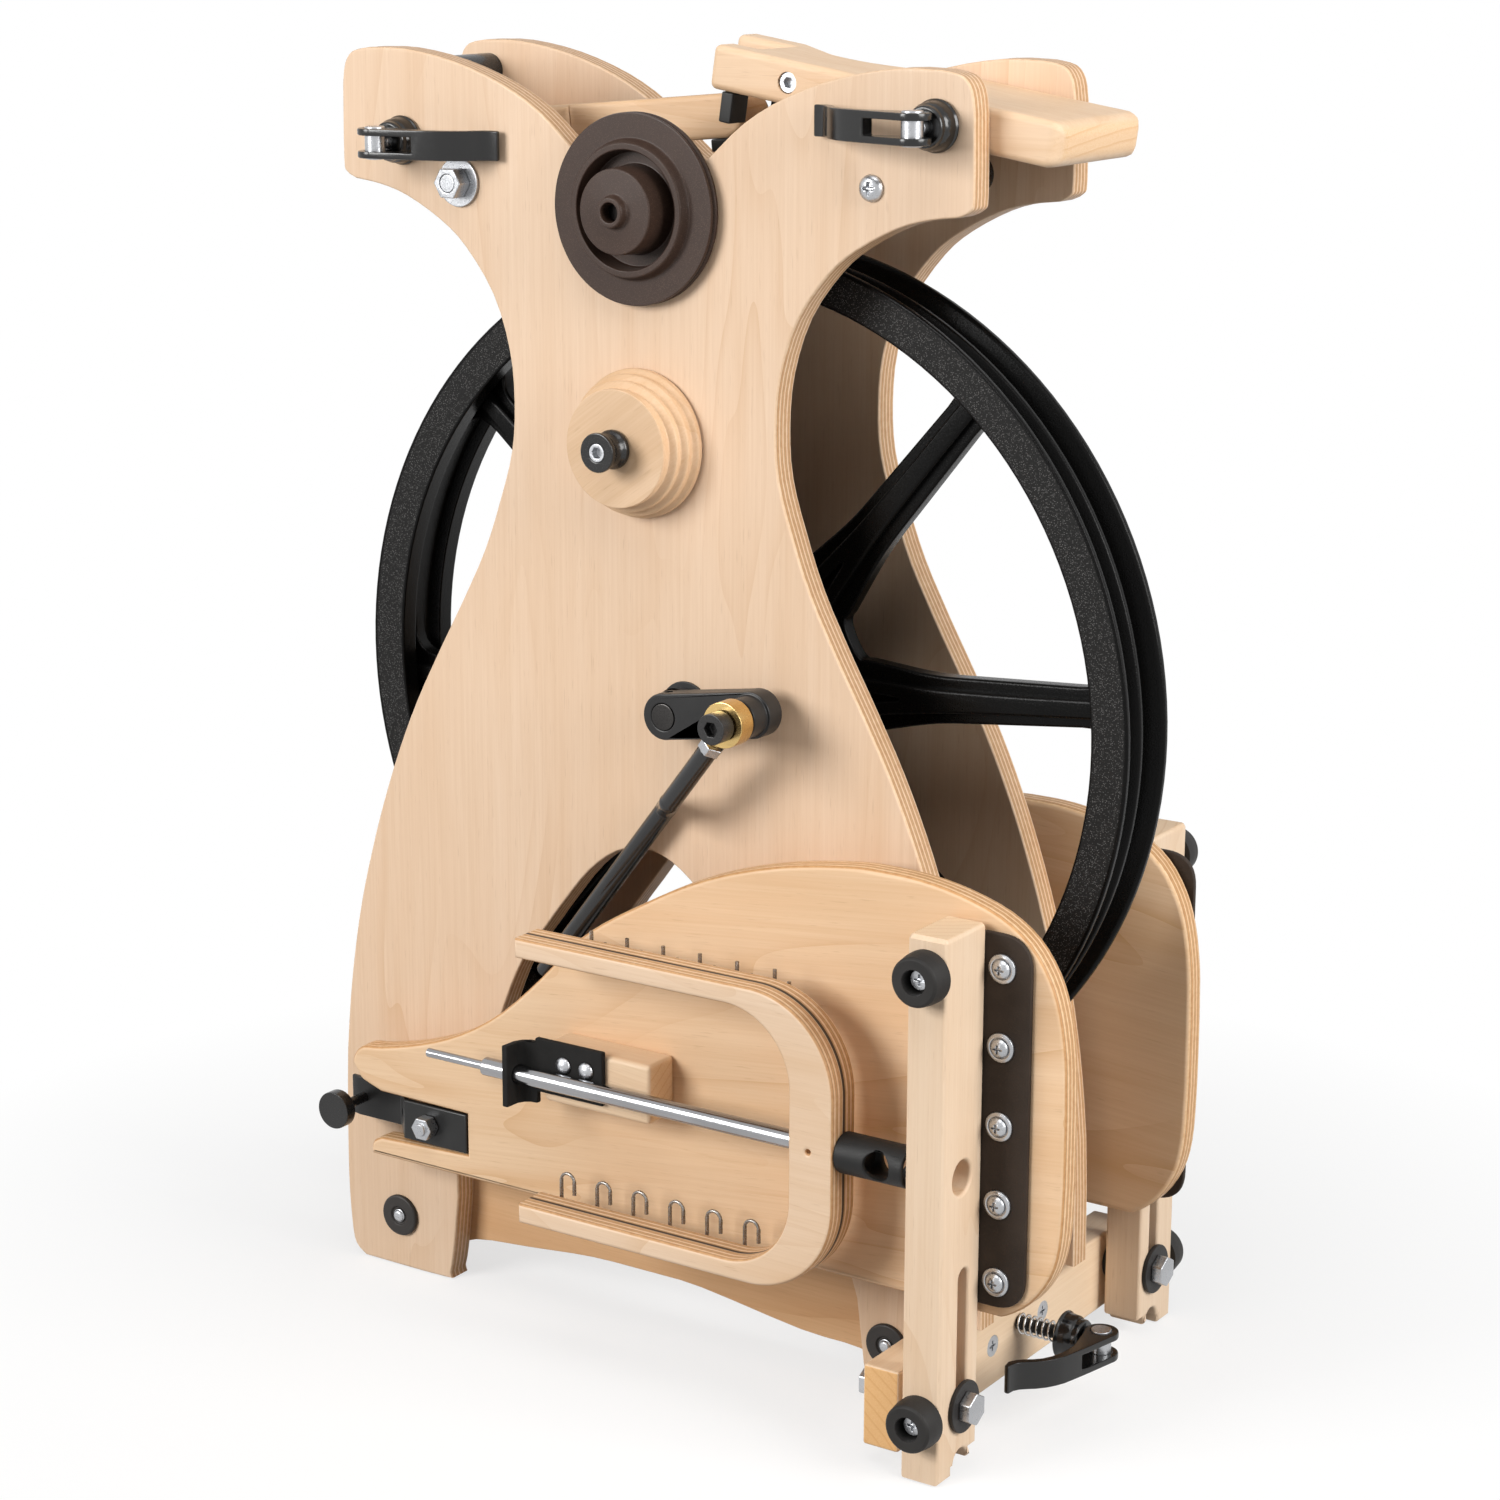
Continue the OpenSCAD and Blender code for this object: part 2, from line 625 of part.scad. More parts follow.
// Short arm that rises through the fork
module arm_b() {
  w = yi - 0.6;
  color(maple) sh() translate([lqr[0], 0, lqr[1]]) rotate([0, -arm_bl, 0]) difference() {
    union() {
      rotate([90, 0, 0]) linear_extrude(2 * tongue_w, center = true) union() {
        translate([0, -arm_t / 2]) square([tongue_l, arm_t]);
        translate([tongue_l, 0]) circle(arm_t / 2);
        circle(arm_t / 2);
      }
      translate([0, 0, -arm_t / 2]) linear_extrude(arm_t) polygon(concat([[0, -w], [24, -w]],
        curve([[24, -w], [38, -w + 6], [54, -tongue_w - 4], [70, -tongue_w]]), [[70, tongue_w]],
        curve([[70, tongue_w], [54, tongue_w + 4], [38, w - 6], [24, w]]), [[24, w], [0, w]]));
      ycyl(0, 0, -w, w, arm_t / 2);
    }
    ycyl(0, 0, -yo, yo, rod_r + run);
  }
}

module rear_bearing() {
  color(black) sh() translate([lqr[0], 0, lqr[1]]) rotate([0, -arm_bl, 0])
    translate([tongue_l - 8, -tongue_w, -arm_t / 2 - 5.55]) cube([15, 2 * tongue_w, 5.5]);
}

module brown_whorl() {
  color(brown) sh() translate([0, -yo - 0.6, whorl_z]) rotate([90, 0, 0]) rotate_extrude($fn = 72) polygon([
    [4.2 + run, 0], [41, 0], [41, 1.8], [38.6, 2.9], [41, 4], [41, 5.6], [30, 5.6], [28.5, 10.6],
      [25.5, 10.6],
    [24.6, 1.6], [19.2, 1.6], [18.2, 18.2], [7.2, 18.6], [6.4, 22.4], [4.2 + run, 22.4]]);
}

module stepped_whorl() {
  color(maple) sh() translate([0, -yo - 0.6, ratio_z]) rotate([90, 0, 0]) rotate_extrude($fn = 72) polygon([
    [4 + run, 0], [32.7, 0], [32.7, 3], [30.4, 4.6], [31, 6.4], [31, 8.2], [28, 9.8], [28.6, 11.4],
      [28.6, 13],
    [25.2, 14.6], [25.8, 16.2], [25.8, 19.4], [4 + run, 19.4]]);
}

module whorl_posts() {
  color(steel) sh() {
    ycyl(0, whorl_z, -yo - 1, -yi + 3, 3);
    ycyl(0, whorl_z, -yo - 17, -yo - 0.05, 4.2);
    ycyl(0, whorl_z, -yi + 0.05, -yi + 3, 6);
    difference() {
      union() {
        ycyl(0, ratio_z, -yo - 33.2, -yi + 3, 4);
        ycyl(0, ratio_z, -yi + 0.05, -yi + 4, 7);
      }
      yhex(0, ratio_z, -yo - 35, -yo - 29.5, 4.5);
    }
  }
}

module thumb_knob() {
  color(black) sh() translate([0, -yo - 20.4, ratio_z]) rotate([90, 0, 0]) rotate_extrude() polygon([
    [4 + fit, 0], [8.6, 0], [8.6, 2.2], [7.2, 4], [6.6, 6.4], [7.2, 8.8], [8.6, 10.6], [8.6, 12.8],
      [4 + fit, 12.8]]);
}

// Hex-headed bolt a bar swings on
module pivot_bolt() {
  xcyl(-piv_y, piv_z, rail_b - 3, bar_x2 + 2.4, bolt_r);
  translate([bar_x2 + 2.3, -piv_y, piv_z]) rotate([0, 90, 0]) linear_extrude(5.5) hexagon(12.7);
  translate([rail_b - 8, -piv_y, piv_z]) rotate([0, 90, 0]) linear_extrude(7.7) hexagon(12.7);
}

// Spacer washer behind a bar and black washer in front of it
module pivot_washers() {
  xtube(-piv_y, piv_z, rail_x + 0.1, bar_x - 0.1, 9, bolt_r + fit);
  xtube(-piv_y, piv_z, bar_x2 + 0.15, bar_x2 + 2.25, foot_r, bolt_r + fit);
}

// Treadle bar standing on its end, with slot, stowage hole and end notch
module bar() {
  c = 1.6;
  difference() {
    translate([bar_x, 0, 0]) rotate([90, 0, 90]) linear_extrude(bar_t) polygon([[-bar_f, 0],
      [-piv_y - 7.5, 0],
      [-piv_y - 7.5, 4], [-piv_y + 7, 4], [-piv_y + 7, 8], [-bar_b, 8], [-bar_b, bar_h - c],
        [-bar_b - c, bar_h],
      [-bar_f + c, bar_h], [-bar_f, bar_h - c]]);
    xcyl(-piv_y, 4, bar_x - 1, bar_x2 + 1, 5.8);
    xcyl(-piv_y, piv_z - 0.2, bar_x - 1, bar_x2 + 1, bolt_r + run);
    xcyl(-piv_y, piv_z + slot_l, bar_x - 1, bar_x2 + 1, bolt_r + run);
    translate([bar_x - 1, -piv_y - bolt_r - run, piv_z]) cube([bar_t + 2, 2 * (bolt_r + run), slot_l]);
    xcyl(-stow_y, stow_z, bar_x - 1, bar_x2 + 1, 7.5);
    for (z = [28, 224.5]) ycyl(bar_x + 9.2, z, -bar_f - 1, -bar_f + 22, 2 + fit);
  }
}

// Two rubber feet with sunk screw holes
module feet() {
  for (z = [28, 224.5]) translate([bar_x + 9.2, -bar_f - 0.05, z]) rotate([90, 0, 0]) rotate_extrude()
    polygon([[2 + fit, 0], [foot_r, 0], [foot_r, 4], [foot_r - 0.8, foot_h - 1], [foot_r - 1.8, foot_h],
      [5.5, foot_h], [5.5, 3.5], [2 + fit, 3.5]]);
}

// Cross-head screws that hold the feet
module foot_screws() {
  for (z = [28, 224.5]) difference() {
    union() {
      ycyl(bar_x + 9.2, z, -bar_f - 4, -bar_f + 14, 2);
      ycyl(bar_x + 9.2, z, -bar_f - 6.2, -bar_f - 3.6, 4.2);
    }
    translate([bar_x + 8.7, -bar_f - 8, z - 2.4]) cube([1, 3.4, 4.8]);
    translate([bar_x + 6.8, -bar_f - 8, z - 0.5]) cube([4.8, 3.4, 1]);
  }
}

// Treadle outline; the heel can be trimmed
function heel(p, d) = [for (q = p) [q[0] - d * max(0, (q[0] - 100) / 130), q[1]]];
module treadle_shape(d) {
  ts = 88 - toe_slot / 2;
  te = 88 + toe_slot / 2;
  polygon(heel(concat(
    curve([[-150, 105.9], [-152.9, 110.4], [-150.9, 116], [-145.8, 119.8], [-135, 121.4], [-111, 127.6],
      [-87, 137.2],
      [-63.6, 151.9], [-40.4, 173.1], [-23, 191.5], [-6.5, 204.2], [15.4, 217.2], [36.8, 228.7],
        [57.9, 237.7],
      [78.6, 244.3], [99, 249], [124, 252.7], [139, 253.4], [158.4, 252.7], [177.7, 249.5], [196.8, 243.3],
      [211, 233.8], [220.7, 220.5], [226, 206], [229, 187.6], [229.8, 168], [230, 148], [229.8, 124],
        [228.5, 104],
      [224.4, 89.4], [215.2, 76], [203, 67.2], [191, 63.5]]),
    [[191, 63.5]],
    curve([[-134, 63.3], [-140.9, 65], [-142.6, 69.2], [-141, 73.4], [-136, 75.9]]),
    [[-136, 75.9], [-84.5, ts], [-84.5, te], [-136, te + 0.7]],
    curve([[-136, te + 0.7], [-147, 102.5], [-150, 105.9]])), d));
}

// Treadle board with the screw holes of its strap and its connector
module treadle(d) {
  difference() {
    board(-tr_f, treadle_t) treadle_shape(d);
    translate([-160, 0, 0]) rotate([90, 0, 90]) linear_extrude(400) polygon([[-tr_f - 1, 62],
      [-tr_f + 4.4, 62],
      [-tr_f + 3, 63.4], [-tr_f, 66.4], [-tr_f - 1, 67.4]]);
    for (z = strap_z) ycyl(200, z, -tr_f - 1, -tr_f + 9, 1.9 + fit);
  }
}

strap_z = [83.6, 118.4, 153.2, 187.9, 222.2];
// Leather hinge strap under the bar, rounded at its free corners
module strap() {
  difference() {
    board(-tr_f - strap_t, strap_t - 0.05) polygon(concat([[bar_x + 1, 72]],
      [for (a = [-90:15:0]) [207.5 + 6 * cos(a), 78 + 6 * sin(a)]],
      [for (a = [0:15:90]) [207.5 + 6 * cos(a), 231 + 6 * sin(a)]], [[bar_x + 1, 237]]));
    for (z = strap_z) ycyl(200, z, -bar_b - 1, -tr_f + 1, 1.9 + fit);
  }
}

// Pan-head screws seated in cup washers
module strap_screws() {
  for (z = strap_z) {
    difference() {
      union() {
        ycyl(200, z, -bar_b - 2, -tr_f + 8, 1.9);
        translate([200, -bar_b - 0.9, z]) rotate([90, 0, 0]) rotate_extrude() polygon([[0, 0], [4.2, 0],
          [4.2, 0.9],
          [3.2, 2], [1.8, 2.7], [0, 2.9]]);
      }
      translate([199.6, -bar_b - 5, z - 2]) cube([0.8, 3, 4]);
      translate([198, -bar_b - 5, z - 0.4]) cube([4, 3, 0.8]);
    }
    translate([200, -bar_b - 0.05, z]) rotate([90, 0, 0]) rotate_extrude() polygon([[1.9 + fit, 0],
      [6.5, 0], [6.3, 0.9],
      [5.2, 1.5], [4.5, 1.3], [4.5, 0.8], [1.9 + fit, 0.8]]);
  }
}

// Cranked black strap that joins a footman to its treadle
module connector() {
  y1 = -tr_f + 0.2;
  y2 = -tr_b + 1.4;
  difference() {
    union() {
      translate([0, 0, 88 - toe_slot / 2 + 0.3]) linear_extrude(toe_slot - 0.6) polygon([[-84.8, y1],
        [-122, y1],
        [-134, y2], [-160, y2], [-165, y2 + 1], [-165, y2 + 3], [-133, y2 + 3], [-121, y1 + 3],
          [-84.8, y1 + 3]]);
      ycyl(-106.6, 88, -tr_f + 3, -tr_b - 0.5, 9);
    }
    ycyl(-106.6, 88, -tr_f - 1, -tr_b + 2, 3 + fit);
    ycyl(-128.6, 88, -tr_f - 1, -tr_b + 9, 2);
    ycyl(-157, 88, -tr_f - 1, -tr_b + 9, 2.5 + fit);
  }
}

// Lock nut on its bolt, and the push-on button
module connector_fixings() {
  ycyl(-106.6, 88, -tr_f - 8, -tr_b - 0.6, 3);
  yhex(-106.6, 88, -tr_f - 6.6, -tr_f - 0.05, 10);
  ycyl(-157, 88, -tr_f - 9, -tr_b + 4.3, 2.5);
  ycyl(-157, 88, -tr_f - 10, -tr_f - 4, 9);
}

module front_pivot_bolt() { color(steel) sh() pivot_bolt(); }

module front_pivot_washers() { color(black) sh() pivot_washers(); }

module front_bar() { color(maple) sh() bar(); }

module front_feet() { color(black) sh() feet(); }

module front_foot_screws() { color(steel) sh() foot_screws(); }

module front_treadle() { color(birch) sh() treadle(0); }

module front_strap() { color(black) sh() strap(); }

module front_treadle_screws() { color(steel) sh() strap_screws(); }

module front_connector() { color(black) sh() connector(); }

module front_connector_fixings() { color(black) sh() connector_fixings(); }

module back_pivot_bolt() { color(steel) sh() back() pivot_bolt(); }

module back_pivot_washers() { color(black) sh() back() pivot_washers(); }

module back_bar() { color(maple) sh() back() bar(); }

module back_feet() { color(black) sh() back() feet(); }

module back_foot_screws() { color(steel) sh() back() foot_screws(); }

module back_treadle() { color(birch) sh() back() treadle(10.5); }

module back_strap() { color(black) sh() back() strap(); }

module back_treadle_screws() { color(steel) sh() back() strap_screws(); }

module back_connector() { color(black) sh() back() connector(); }

module back_connector_fixings() { color(black) sh() back() connector_fixings(); }

hold_f = fly_y - shaft_r - 3.25;
module holder_block() {
  color(maple) sh() board(-hold_f, hold_f - tr_f - 0.05) polygon([[-24.5, flyer_z - 13.2],
    [33.6, flyer_z - 13.2],
    [33.6, flyer_z + 14.4], [-24.5, flyer_z + 14.4]]);
}

// Black bearing leather on the block's face, bent out round the shaft, with its two screws
module holder_leather() {
  y0 = -hold_f - 0.05;
  y1 = y0 - 2.9;
  color(black) sh() {
    difference() {
      union() {
        translate([0, 0, flyer_z - 8.3]) linear_extrude(25.2) polygon([[10, y0], [-27, y0], [-27, y1],
          [10, y1]]);
        translate([0, 0, flyer_z - 14]) linear_extrude(29) polygon([[-26, y0], [-30.5, y0 - 0.6],
          [-34, y0 - 3],
          [-36, y0 - 7], [-36.6, y0 - 15], [-33.6, y0 - 15], [-33.1, y0 - 7.6], [-31.6, y0 - 4.9],
            [-29.4, y0 - 3.4],
          [-26, y1]]);
      }
      xcyl(-fly_y, flyer_z, -45, -28, shaft_r + run);
      for (x = [-11.1, 1.3]) ycyl(x, flyer_z + 6.8, -hold_f - 5, -hold_f + 1, 1.6 + fit);
    }
    for (x = [-11.1, 1.3]) {
      ycyl(x, flyer_z + 6.8, -hold_f - 3.5, -hold_f - 0.1, 1.6);
      translate([x, -hold_f - 3.05, flyer_z + 6.8]) rotate([90, 0, 0]) rotate_extrude() polygon([[0, 0],
        [4.2, 0],
        [3.4, 1.3], [1.8, 2.2], [0, 2.4]]);
    }
  }
}

// Flat U with round corners, open to the left
module yoke_shape(x0, x1, h, r) {
  translate([x0, -h]) square([x1 - r - x0, 2 * h]);
  translate([x1 - 2 * r, -h + r]) square([2 * r, 2 * (h - r)]);
  for (s = [-1, 1]) translate([x1 - r, s * (h - r)]) circle(r, $fn = 96);
}

module flyer_yoke() {
  color(birch) sh() difference() {
    board(-fly_y - flyer_t / 2, flyer_t) translate([0, flyer_z]) difference() {
      yoke_shape(-27.4, yoke_x, flyer_s, 43);
      yoke_shape(-40, yoke_x - 22, flyer_s - flyer_a, 33);
    }
    xcyl(-fly_y, flyer_z, 100, yoke_x - 3, shaft_r + fit);
    xcyl(-fly_y, flyer_z, yoke_x - 3.1, yoke_x + 1, orifice_r - 3 + fit);
    ycyl(yoke_x - 12, flyer_z, -fly_y - flyer_t / 2 - 1, -fly_y - flyer_t / 2 + 3, 0.9);
  }
}

// Bent wire hook whose legs reach l and s below the arch's middle; the long one lies behind the arm
module hook(l, s) {
  rotate([90, 0, 0]) rotate_extrude(angle = 180) translate([3.6, 0]) circle(0.75, $fn = 16);
  translate([-3.6, 0, -l]) cylinder(h = l + 0.3, r = 0.9, $fn = 24);
  translate([3.6, 0, -s]) cylinder(h = s + 0.3, r = 0.9, $fn = 24);
}

module flyer_hooks() {
  y = -fly_y + flyer_t / 2 + 1;
  color(steel) sh() for (i = [0:5]) {
    translate([-13.9 + 19.9 * i, y, flyer_z - flyer_s + flyer_a + 7.4]) hook(14, 6);
    translate([4.1 + 19.3 * i, y, flyer_z + flyer_s - flyer_a + 5.6]) mirror([0, 0, 1]) hook(6.6, 2.4);
  }
}

module flyer_shaft() {
  color(steel) sh() {
    xcyl(-fly_y, flyer_z, -51.8, yoke_x - 3.1, shaft_r);
    xcyl(-fly_y, flyer_z, -84.7, -51.3, 2.1);
  }
}

module flyer_orifice() {
  color(black) sh() difference() {
    union() {
      xcyl(-fly_y, flyer_z, yoke_x + 0.05, orifice_end, orifice_r);
      xcyl(-fly_y, flyer_z, yoke_x - 2.9, yoke_x + 1, orifice_r - 3);
    }
    xcyl(-fly_y, flyer_z, yoke_x + 12, orifice_end + 1, orifice_r - 2.6);
    translate([yoke_x + 21, -fly_y + 20, flyer_z]) rotate([90, 0, 0]) cylinder(h = 40, r = 6.2);
  }
}

front_panel();
back_panel();
stretchers();
base_rail();
rail_screws();
leg_washers();
leg_bolts();
stop_tubes();
stop_fasteners();
axle_bushes();
clamp_rods();
clamp_cups();
base_spring();
left_lever();
right_lever();
base_lever();
drive_wheel();
axle();
cranks();
crank_screws();
front_rod_end();
front_footman();
back_rod_end();
back_footman();
arm_a();
arm_a_screw();
orifice_bearing();
arm_b();
rear_bearing();
brown_whorl();
stepped_whorl();
whorl_posts();
thumb_knob();
front_pivot_bolt();
front_pivot_washers();
front_bar();
front_feet();
front_foot_screws();
front_treadle();
front_strap();
front_treadle_screws();
front_connector();
front_connector_fixings();
holder_block();
holder_leather();
flyer_yoke();
flyer_hooks();
flyer_shaft();
flyer_orifice();
back_pivot_bolt();
back_pivot_washers();
back_bar();
back_feet();
back_foot_screws();
back_treadle();
back_strap();
back_treadle_screws();
back_connector();
back_connector_fixings();
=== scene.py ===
import json
import math

import bpy
from mathutils import Matrix, Vector


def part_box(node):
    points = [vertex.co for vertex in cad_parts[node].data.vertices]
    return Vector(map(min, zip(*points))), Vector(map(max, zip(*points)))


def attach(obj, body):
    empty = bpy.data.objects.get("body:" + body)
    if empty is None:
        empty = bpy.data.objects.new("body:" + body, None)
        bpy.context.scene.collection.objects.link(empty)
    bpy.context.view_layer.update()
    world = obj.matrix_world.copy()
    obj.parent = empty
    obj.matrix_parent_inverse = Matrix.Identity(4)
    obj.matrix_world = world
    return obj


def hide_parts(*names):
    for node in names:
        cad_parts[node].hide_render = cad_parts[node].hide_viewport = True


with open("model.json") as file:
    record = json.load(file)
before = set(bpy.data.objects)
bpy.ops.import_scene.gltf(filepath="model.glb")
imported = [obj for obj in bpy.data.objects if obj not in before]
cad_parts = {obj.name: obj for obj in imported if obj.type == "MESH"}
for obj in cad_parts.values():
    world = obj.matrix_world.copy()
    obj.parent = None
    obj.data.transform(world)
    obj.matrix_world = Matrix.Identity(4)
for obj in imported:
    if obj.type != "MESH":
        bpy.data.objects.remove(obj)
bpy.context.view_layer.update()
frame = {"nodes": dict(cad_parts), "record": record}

# Studio: a pale floor that fades into a white surround, and three large soft lamps.
# The camera stands where the photograph was taken, to the right of the wheel and a little above it.
scene = bpy.context.scene
scene.view_settings.view_transform = "Standard"
CAMERA_PLACE = Vector((0.82991, -1.25532, 0.66265))
CAMERA_LOOK = Vector((-0.5344, 0.8074, -0.2502))
CAMERA_ROLL = 0.16
camera_data = bpy.data.cameras.new("camera")
camera_data.sensor_width = 36.0
camera_data.lens = 82.44
camera_data.clip_end = 20.0
camera = bpy.data.objects.new("camera", camera_data)
camera.matrix_world = (
    Matrix.Translation(CAMERA_PLACE)
    @ CAMERA_LOOK.to_track_quat("-Z", "Y").to_matrix().to_4x4()
    @ Matrix.Rotation(math.radians(CAMERA_ROLL), 4, "Z")
)
scene.collection.objects.link(camera)
scene.camera = camera


def put(tree, kind, settings=None, **inputs):
    """Adds a shader node; an input is a plain value or another node's socket."""
    made = tree.nodes.new(kind)
    for key, value in (settings or {}).items():
        setattr(made, key, value)
    for key, value in inputs.items():
        number = key[0] == "i" and key[1:].isdigit()
        socket = made.inputs[int(key[1:]) if number else key.replace("_", " ")]
        if isinstance(value, bpy.types.NodeSocket):
            tree.links.new(value, socket)
        else:
            socket.default_value = value
    return made


def maths(tree, operation, a, b=0.0, c=0.0):
    """One arithmetic node; gives its output socket."""
    return put(tree, "ShaderNodeMath", {"operation": operation}, i0=a, i1=b, i2=c).outputs[0]


def span(tree, value, low, high, to_low=0.0, to_high=1.0):
    """Maps a value from one range to another and clamps it."""
    return put(tree, "ShaderNodeMapRange", Value=value, From_Min=low, From_Max=high, To_Min=to_low,
               To_Max=to_high).outputs[0]


def seen_ray(tree):
    """1 for a ray that comes from the camera, a mirror or a lens, and 0 for light on the object."""
    path = put(tree, "ShaderNodeLightPath")
    either = maths(tree, "MAXIMUM", path.outputs["Is Camera Ray"], path.outputs["Is Glossy Ray"])
    return maths(tree, "MAXIMUM", either, path.outputs["Is Transmission Ray"])


WHITE = (1.0, 1.0, 1.0, 1.0)
SKY_GLOW = 0.04
world = bpy.data.worlds.new("surround")
world.use_nodes = True
sky = world.node_tree
sky.nodes.clear()
soft_sky = put(sky, "ShaderNodeBackground", Color=(1.0, 0.985, 0.97, 1.0), Strength=SKY_GLOW)
white_sky = put(sky, "ShaderNodeBackground", Color=WHITE, Strength=1.0)
both_skies = put(sky, "ShaderNodeMixShader", i0=seen_ray(sky), i1=soft_sky.outputs[0], i2=white_sky.outputs[0])
put(sky, "ShaderNodeOutputWorld", Surface=both_skies.outputs[0])
scene.world = world

FLOOR_SIZE, FLOOR_DROP = 12.0, 0.0006
FLOOR_BOUNCE, FLOOR_SEEN = 0.30, 0.93
FADE_FROM, FADE_TO, FADE_LEAST = 0.22, 0.52, 0.70
bpy.ops.object.select_all(action="DESELECT")
bpy.ops.mesh.primitive_plane_add(size=FLOOR_SIZE, location=(0.0, 0.0, -FLOOR_DROP))
floor = bpy.context.object
floor.name = "floor"
floor_paint = bpy.data.materials.new("pale_floor")
floor_paint.use_nodes = True
ground = floor_paint.node_tree
ground.nodes.clear()
bounce = span(ground, seen_ray(ground), 0.0, 1.0, FLOOR_BOUNCE, FLOOR_SEEN)
matt = put(ground, "ShaderNodeBsdfDiffuse", Color=bounce)
lit = put(ground, "ShaderNodeEmission", Color=WHITE, Strength=1.0)
floor_spot = put(ground, "ShaderNodeTexCoord").outputs["Object"]
from_middle = put(ground, "ShaderNodeVectorMath", {"operation": "LENGTH"}, i0=floor_spot).outputs["Value"]
lifted = maths(ground, "MULTIPLY", seen_ray(ground), span(ground, from_middle, FADE_FROM, FADE_TO, FADE_LEAST, 1.0))
floor_mix = put(ground, "ShaderNodeMixShader", i0=lifted, i1=matt.outputs[0], i2=lit.outputs[0])
put(ground, "ShaderNodeOutputMaterial", Surface=floor_mix.outputs[0])
floor.data.materials.append(floor_paint)


def lamp(name, place, size, watts, colour):
    """A large square lamp turned towards the middle of the wheel."""
    data = bpy.data.lights.new(name, "AREA")
    data.size = size
    data.energy = watts
    data.color = colour
    made = bpy.data.objects.new(name, data)
    made.location = place
    made.rotation_euler = (Vector(LAMP_AIM) - Vector(place)).to_track_quat("-Z", "Y").to_euler()
    scene.collection.objects.link(made)


LAMP_AIM = (0.0, 0.0, 0.3)
DAYLIGHT = (1.0, 0.995, 0.985)
lamp("key_lamp", (-1.3, -2.6, 1.3), size=1.4, watts=84.0, colour=DAYLIGHT)
lamp("side_lamp", (2.1, -0.1, 1.2), size=1.3, watts=53.0, colour=DAYLIGHT)
lamp("top_lamp", (0.4, -0.9, 2.3), size=1.3, watts=14.0, colour=(1.0, 0.995, 0.99))


# Side panels: two sheets of birch plywood, cut to the same outline, their edges rounded over by hand.
# The face veneer runs upright, and the edge shows the thin cross-laid plies and their glue lines.
body_of = {n: b for b, members in frame["record"]["behaviour"]["bodies"].items() for n in members}
WELD, LEVEL_ANGLE, SOFT_ANGLE = 2e-6, math.radians(0.8), math.radians(32)


def only(piece):
    """Makes one object the selected and active one."""
    bpy.ops.object.select_all(action="DESELECT")
    bpy.context.view_layer.objects.active = piece
    piece.select_set(True)


def take(node):
    """A merged copy of a CAD solid, without the lines between its flat triangles."""
    piece = bpy.data.objects.new(node + "_piece", frame["nodes"][node].data.copy())
    scene.collection.objects.link(piece)
    only(piece)
    bpy.ops.object.mode_set(mode="EDIT")
    bpy.ops.mesh.select_all(action="SELECT")
    bpy.ops.mesh.remove_doubles(threshold=WELD)
    bpy.ops.mesh.dissolve_limited(angle_limit=LEVEL_ANGLE)
    bpy.ops.object.mode_set(mode="OBJECT")
    while piece.data.materials:
        piece.data.materials.pop()
    return piece


def weld(piece):
    """Merges the doubled corners of a new mesh and turns its faces outwards."""
    only(piece)
    bpy.ops.object.mode_set(mode="EDIT")
    bpy.ops.mesh.select_all(action="SELECT")
    bpy.ops.mesh.remove_doubles(threshold=WELD)
    bpy.ops.mesh.normals_make_consistent(inside=False)
    bpy.ops.object.mode_set(mode="OBJECT")


def smooth(piece):
    """Smooth shading that leaves the broad flat faces flat."""
    only(piece)
    bpy.ops.object.shade_smooth_by_angle(angle=SOFT_ANGLE)
    level = piece.modifiers.new("level_faces", "WEIGHTED_NORMAL")
    level.keep_sharp = True
    bpy.ops.object.modifier_apply(modifier="level_faces")
    return piece


def reach_of(piece):
    """Lowest corner, highest corner and sides of a piece's mesh."""
    corners = [v.co for v in piece.data.vertices]
    low = Vector([min(c[k] for c in corners) for k in range(3)])
    high = Vector([max(c[k] for c in corners) for k in range(3)])
    return low, high, high - low


def flat_piece(name, loops, through, middle, thick, round_over):
    """A flat piece sawn to its outline and holes, with every edge rounded over on both faces.
    loops hold points across and up; through is the axis of the thickness, which lies about middle."""
    outline = bpy.data.curves.new(name + "_outline", "CURVE")
    outline.dimensions = "2D"
    outline.fill_mode = "BOTH"
    outline.extrude = thick / 2 - round_over
    outline.bevel_depth = round_over
    outline.bevel_resolution = 2
    outline.offset = -round_over
    for loop in loops:
        line = outline.splines.new("POLY")
        line.points.add(len(loop) - 1)
        line.use_cyclic_u = True
        for point, (across, up) in zip(line.points, loop):
            point.co = (across, up, 0.0, 1.0)
    piece = bpy.data.objects.new(name, outline)
    scene.collection.objects.link(piece)
    only(piece)
    bpy.ops.object.convert(target="MESH")
    piece = bpy.context.object
    if through == "Y":
        piece.matrix_world = Matrix(((1, 0, 0, 0), (0, 0, -1, middle), (0, 1, 0, 0), (0, 0, 0, 1)))
    else:
        piece.matrix_world = Matrix(((0, 0, 1, middle), (1, 0, 0, 0), (0, 1, 0, 0), (0, 0, 0, 1)))
    bpy.ops.object.transform_apply(location=True, rotation=True, scale=True)
    weld(piece)
    return smooth(piece)


